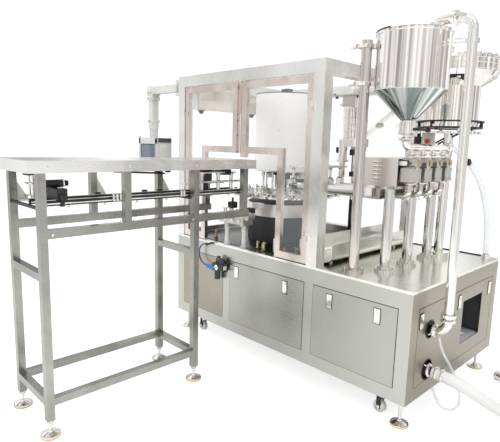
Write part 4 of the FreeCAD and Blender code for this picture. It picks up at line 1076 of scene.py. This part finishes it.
def nozzle_trim():
    """Brass guides and dark sensors at the filling nozzles."""
    guides, dark = Shape(), Shape()
    for turn in (-40, -20, 0, 20):
        guides.ring(round_turret(450, turn, 1306), Z, 19, 9.6, 10, 2)
        guides.hexagon(round_turret(450, turn, 1372), Z, 24, 12)
        x, y, z = round_turret(496, turn, 1243)
        dark.box(span(x, 14), span(y, 14), (z, 1268), 3)
    guides.piece("nozzle_guides", "brass", "polished", "nozzle_head")
    dark.piece("nozzle_sensors", "black", "black")


def deck_trim():
    """Dark strip along the deck's rear edge, a clip on the return hose, and the hose's flange."""
    strip = Shape()
    strip.box((-640, -110), (1212, 1226), (800, 806), 1.5)
    strip.box((-208, -150), (944, 976), (1440, 1478), 6, tilt=42, axis="X")
    strip.piece("deck_edge_strip", "black", "black")
    ring = Shape()
    ring.turned((-63, 1157.5, 800), Z,
                [(19.4, 0), (34, 0), (34, 4), (25, 8), (23, 30), (19.4, 30)], 40)
    ring.piece("return_flange", "bright", "polished")


filler_trim()
nozzle_trim()
deck_trim()


# ---------------- infeed table
def table_trim():
    """Gussets, hood screws, rail edges, foot plates and the black control blocks of the table."""
    gussets, screws, edging, dark, works = (Shape() for _ in range(5))
    for y in (-1387, -921, -450):
        corners = [Vector((-1640, y, 1206)), Vector((-1640, y + 60, 1206)),
                   Vector((-1640, y + 55, 1218)), Vector((-1640, y + 9, 1296)), Vector((-1640, y, 1300))]
        gussets.prism(corners, Vector((8, 0, 0)), 0.8)
        gussets.box((-1640, -1596), (y, y + 70), (1200, 1207), 1.5)
        gussets.box((-1648, -1626), span(y, 3), (1276, 1312), 1.5)
    gussets.piece("rail_gussets", "white", "stainless")
    for y in (-1380, -935, -480, -40):
        screws.screw((-1214, y, 1403), X, (6, 0), (5, 2.6), (2.5, 3.4), (0, 3.4))
    for y in (-1250, -1050, -850, -650, -300, -150):
        for x in (-1290, -1420):
            screws.upright(x, y, 1206, 1190, 5)
            screws.hexagon((x, y, 1198), -Z, 14, 5)
    for y in (-983, -903):
        screws.box((-1240, -1226), span(y, 8), (1095, 1099), 1)
        screws.hexagon((-1233, y, 1099), Z, 11, 5)
    for y in (-1366, -500, -14):
        screws.hexagon((-1223, y, 1070), X, 13, 5)
    screws.piece("table_bolts", "bright", "stainless")
    for x in (-1290, -1420):
        edging.box((x + 12, x + 17), (-1396, -10), (1214, 1221), 1)
        edging.box(span(x, 6), (-1396, -10), (1232.6, 1236), 1)
    edging.piece("rail_strips", "bright", "polished")
    dark.rod((-1470, -900, 1358), (-1440, -560, 1342), 6, 2)
    for y in (-600, -520):
        dark.box((-1478, -1452), span(y, 14), (1346, 1372), 2)
    dark.box((-1420, -1330), (-330, -262), (1290, 1368), 5)
    dark.box((-1390, -1350), (-316, -276), (1236, 1290), 4)
    dark.box((-1340, -1300), (-180, -120), (1330, 1372), 4)
    dark.rod((-1420, -230, 1350), (-1420, -60, 1350), 8, 2)
    dark.box((-1560, -1500), (-1380, -1330), (1345, 1372), 4)
    for y in (-1300, -1010, -700, -590):
        dark.box((-1462, -1428), span(y, 16), (1214, 1231), 2)
        dark.box((-1462, -1443), span(y, 16), (1229, 1244), 2)
    dark.piece("table_control_blocks", "black", "black")
    for y in (-392, -352, -210, -96):
        works.upright(-1330, y, 1236, 1344, 13, 2)
        works.ring((-1330, y, 1330), Z, 19, 12.6, 12, 2)
    works.box((-1360, -1300), (-410, -70), (1344, 1352), 2)
    works.box((-1470, -1440), (-400, -60), (1262, 1270), 2)
    works.rod((-1300, -400, 1290), (-1300, -40, 1290), 7, 2)
    for x in (-1530, -1480):
        works.upright(x, -1355, 1236, 1345, 6, 2)
    works.box((-1560, -1460), (-1372, -1338), (1300, 1308), 2)
    works.box((-1560, -1460), (-1376, -1334), (1233, 1242), 2)
    for y in (-1012, -990, -968, -560, -540):
        works.box((-1283, -1252), span(y, 9), (1214, 1222), 1)
        works.upright(-1261, y, 1220, 1249, 8, 2)
    works.piece("table_fittings", "bright", "polished")


def pusher_trim():
    """Clamp screw, finger and rod end on the pouch pusher."""
    knob, rod_end = Shape(), Shape()
    knob.turned((-1355, -1243, 1312), Y, [(0, 0), (8, 0), (8, 6), (15, 8), (15, 18), (0, 19)])
    knob.box((-1300, -1258), (-1306, -1272), (1234, 1262), 4)
    knob.box((-1290, -1268), (-1300, -1278), (1200, 1236), 3)
    knob.piece("pusher_finger", "black", "black", "pouch_pusher")
    for x in (-1420, -1400, -1312, -1292):
        rod_end.hexagon((x, -1290, 1290), Z, 13, 6)
    rod_end.ring((-1355, -1359, 1312), Y, 22.5, 19, 7, 1)
    rod_end.ring((-1355, -1255, 1312), Y, 22.5, 19, 7, 1)
    rod_end.piece("pusher_bolts", "bright", "polished", "pouch_pusher")


table_trim()
pusher_trim()


# ---------------- operator panel
def operator_panel():
    """Bezel, screen, side grip and panel face of the operator's box, and the arm's castings."""
    bezel, screen, grip, side, line = (Shape() for _ in range(5))
    x0, x1, z0, z1 = -2565, -2283, 1364, 1567
    sx0, sx1, sz0, sz1 = -2537, -2316, 1390, 1519
    for x, z in (((x0, x1), (sz1, z1)), ((x0, x1), (z0, sz0)),
                 ((x0, sx0), (z0, z1)), ((sx1, x1), (z0, z1))):
        bezel.box(x, (-64, -58), z, 2.5)
    bezel.piece("panel_bezel", "case", "white_case", "operator_panel")
    screen.box((sx0 - 1, sx1 + 1), (-61, -59), (sz0 - 1, sz1 + 1), 0.5)
    screen.piece("panel_screen", "screen", "dark", "operator_panel")
    for x, z in (((sx0, sx0 + 5), (sz0, sz1)), ((sx1 - 5, sx1), (sz0, sz1)),
                 ((sx0, sx1), (sz1 - 6, sz1)), ((sx0, sx1), (sz0, sz0 + 4))):
        line.box(x, (-62.4, -60.5), z, 0.6)
    line.box((-2304, -2298), (-65, -62), (sz0, sz1), 1)
    line.upright(-2563, -52, 1552, 1580, 6)
    line.piece("panel_screen_rim", "black", "black", "operator_panel")
    grip.box((-2282, -2271), (-54, 73), (1533, 1567), 5)
    grip.piece("panel_grip", "dark", "dark", "operator_panel")
    side.box((-2281, -2276), (-46, 67), (1368, 1528), 2)
    side.piece("panel_side", "beige", "white_case", "operator_panel")
    corner, pins = Shape(), Shape()
    for x, y, z, bevel in (((-2532, -2448), (0, 80), (1926, 2003), 7),
                           ((-2532, -2448), (-2, 82), (1885, 1915), 6),
                           ((-2526, -2454), (4, 76), (1905, 1935), 5),
                           ((-2460, -2430), (2, 78), (1932, 1998), 6),
                           ((-2528, -2452), (2, 78), (1695, 1725), 6),
                           ((-2124, -2104), (2, 78), (1932, 1998), 6)):
        corner.box(x, y, z, bevel)
    corner.piece("arm_castings", "arm", "stainless", "panel_arm")
    for z in (1900, 1945):
        for x in (-2512, -2468):
            pins.screw((x, -2, z), -Y, (5, 0), (5, 2), (2, 3), (0, 3))
    pins.rod((-2490, 12, 1710), (-2490, -6, 1710), 5)
    pins.piece("arm_screws", "black", "black", "panel_arm")


operator_panel()


# ---------------- floor and light
FLOOR_HALF_WIDTH = 5.5


def make_stage():
    mesh = bpy.data.meshes.new("floor")
    build = bmesh.new()
    bmesh.ops.create_grid(build, x_segments=1, y_segments=1, size=FLOOR_HALF_WIDTH)
    build.to_mesh(mesh)
    build.free()
    floor = bpy.data.objects.new("floor", mesh)
    bpy.context.scene.collection.objects.link(floor)
    material, tree, shader = new_material("floor_paint")
    feed(tree, shader, Base_Color=(0.9, 0.9, 0.9, 1), Roughness=0.6, Specular_IOR_Level=0.2)
    glow = add_node(tree, "Emission", Strength=1.55)
    path = add_node(tree, "LightPath")
    half = calculate(tree, "MULTIPLY", path.outputs["Is Camera Ray"], 0.5)
    mix_shaders(tree, "Material Output", half, shader.outputs["BSDF"], glow.outputs["Emission"])
    mesh.materials.append(material)


def area_light(name, place, target, size, power):
    data = bpy.data.lights.new(name, "AREA")
    data.shape = "RECTANGLE"
    data.size, data.size_y = size
    data.energy = power
    lamp = bpy.data.objects.new(name, data)
    lamp.visible_glossy = False
    bpy.context.scene.collection.objects.link(lamp)
    way = at(*target) - at(*place)
    lamp.matrix_world = (Matrix.Translation(at(*place))
                         @ way.to_track_quat("-Z", "Y").to_matrix().to_4x4())


def make_light():
    world = bpy.data.worlds.new("studio")
    bpy.context.scene.world = world
    world.use_nodes = True
    tree = world.node_tree
    coords = add_node(tree, "TexCoord")
    mapping = add_node(tree, "Mapping", Vector=coords.outputs["Generated"], Scale=(1.0, 1.0, 0.12))
    noise = add_node(tree, "TexNoise", Vector=mapping.outputs["Vector"], Scale=4.6, Detail=2.5)
    room = blend_colours(tree, noise.outputs["Fac"], (0.42, 0.415, 0.40), (1.2, 1.2, 1.19), 0.38, 0.60)
    studio = feed(tree, tree.nodes["Background"], Color=room, Strength=1.0)
    white = add_node(tree, "Background", Color=(1, 1, 1, 1), Strength=1.15)
    path = add_node(tree, "LightPath")
    mix_shaders(tree, "World Output", path.outputs["Is Camera Ray"],
                studio.outputs["Background"], white.outputs["Background"])
    area_light("key", (-3200, -4200, 4600), (-1000, 500, 1000), (4, 3), 120)
    area_light("fill", (3600, -1200, 3200), (-600, 500, 1000), (3, 3), 60)
    area_light("top", (-1000, 600, 5200), (-1000, 600, 0), (5, 4), 150)
    bpy.context.scene.view_settings.view_transform = "Standard"


make_stage()
make_light()
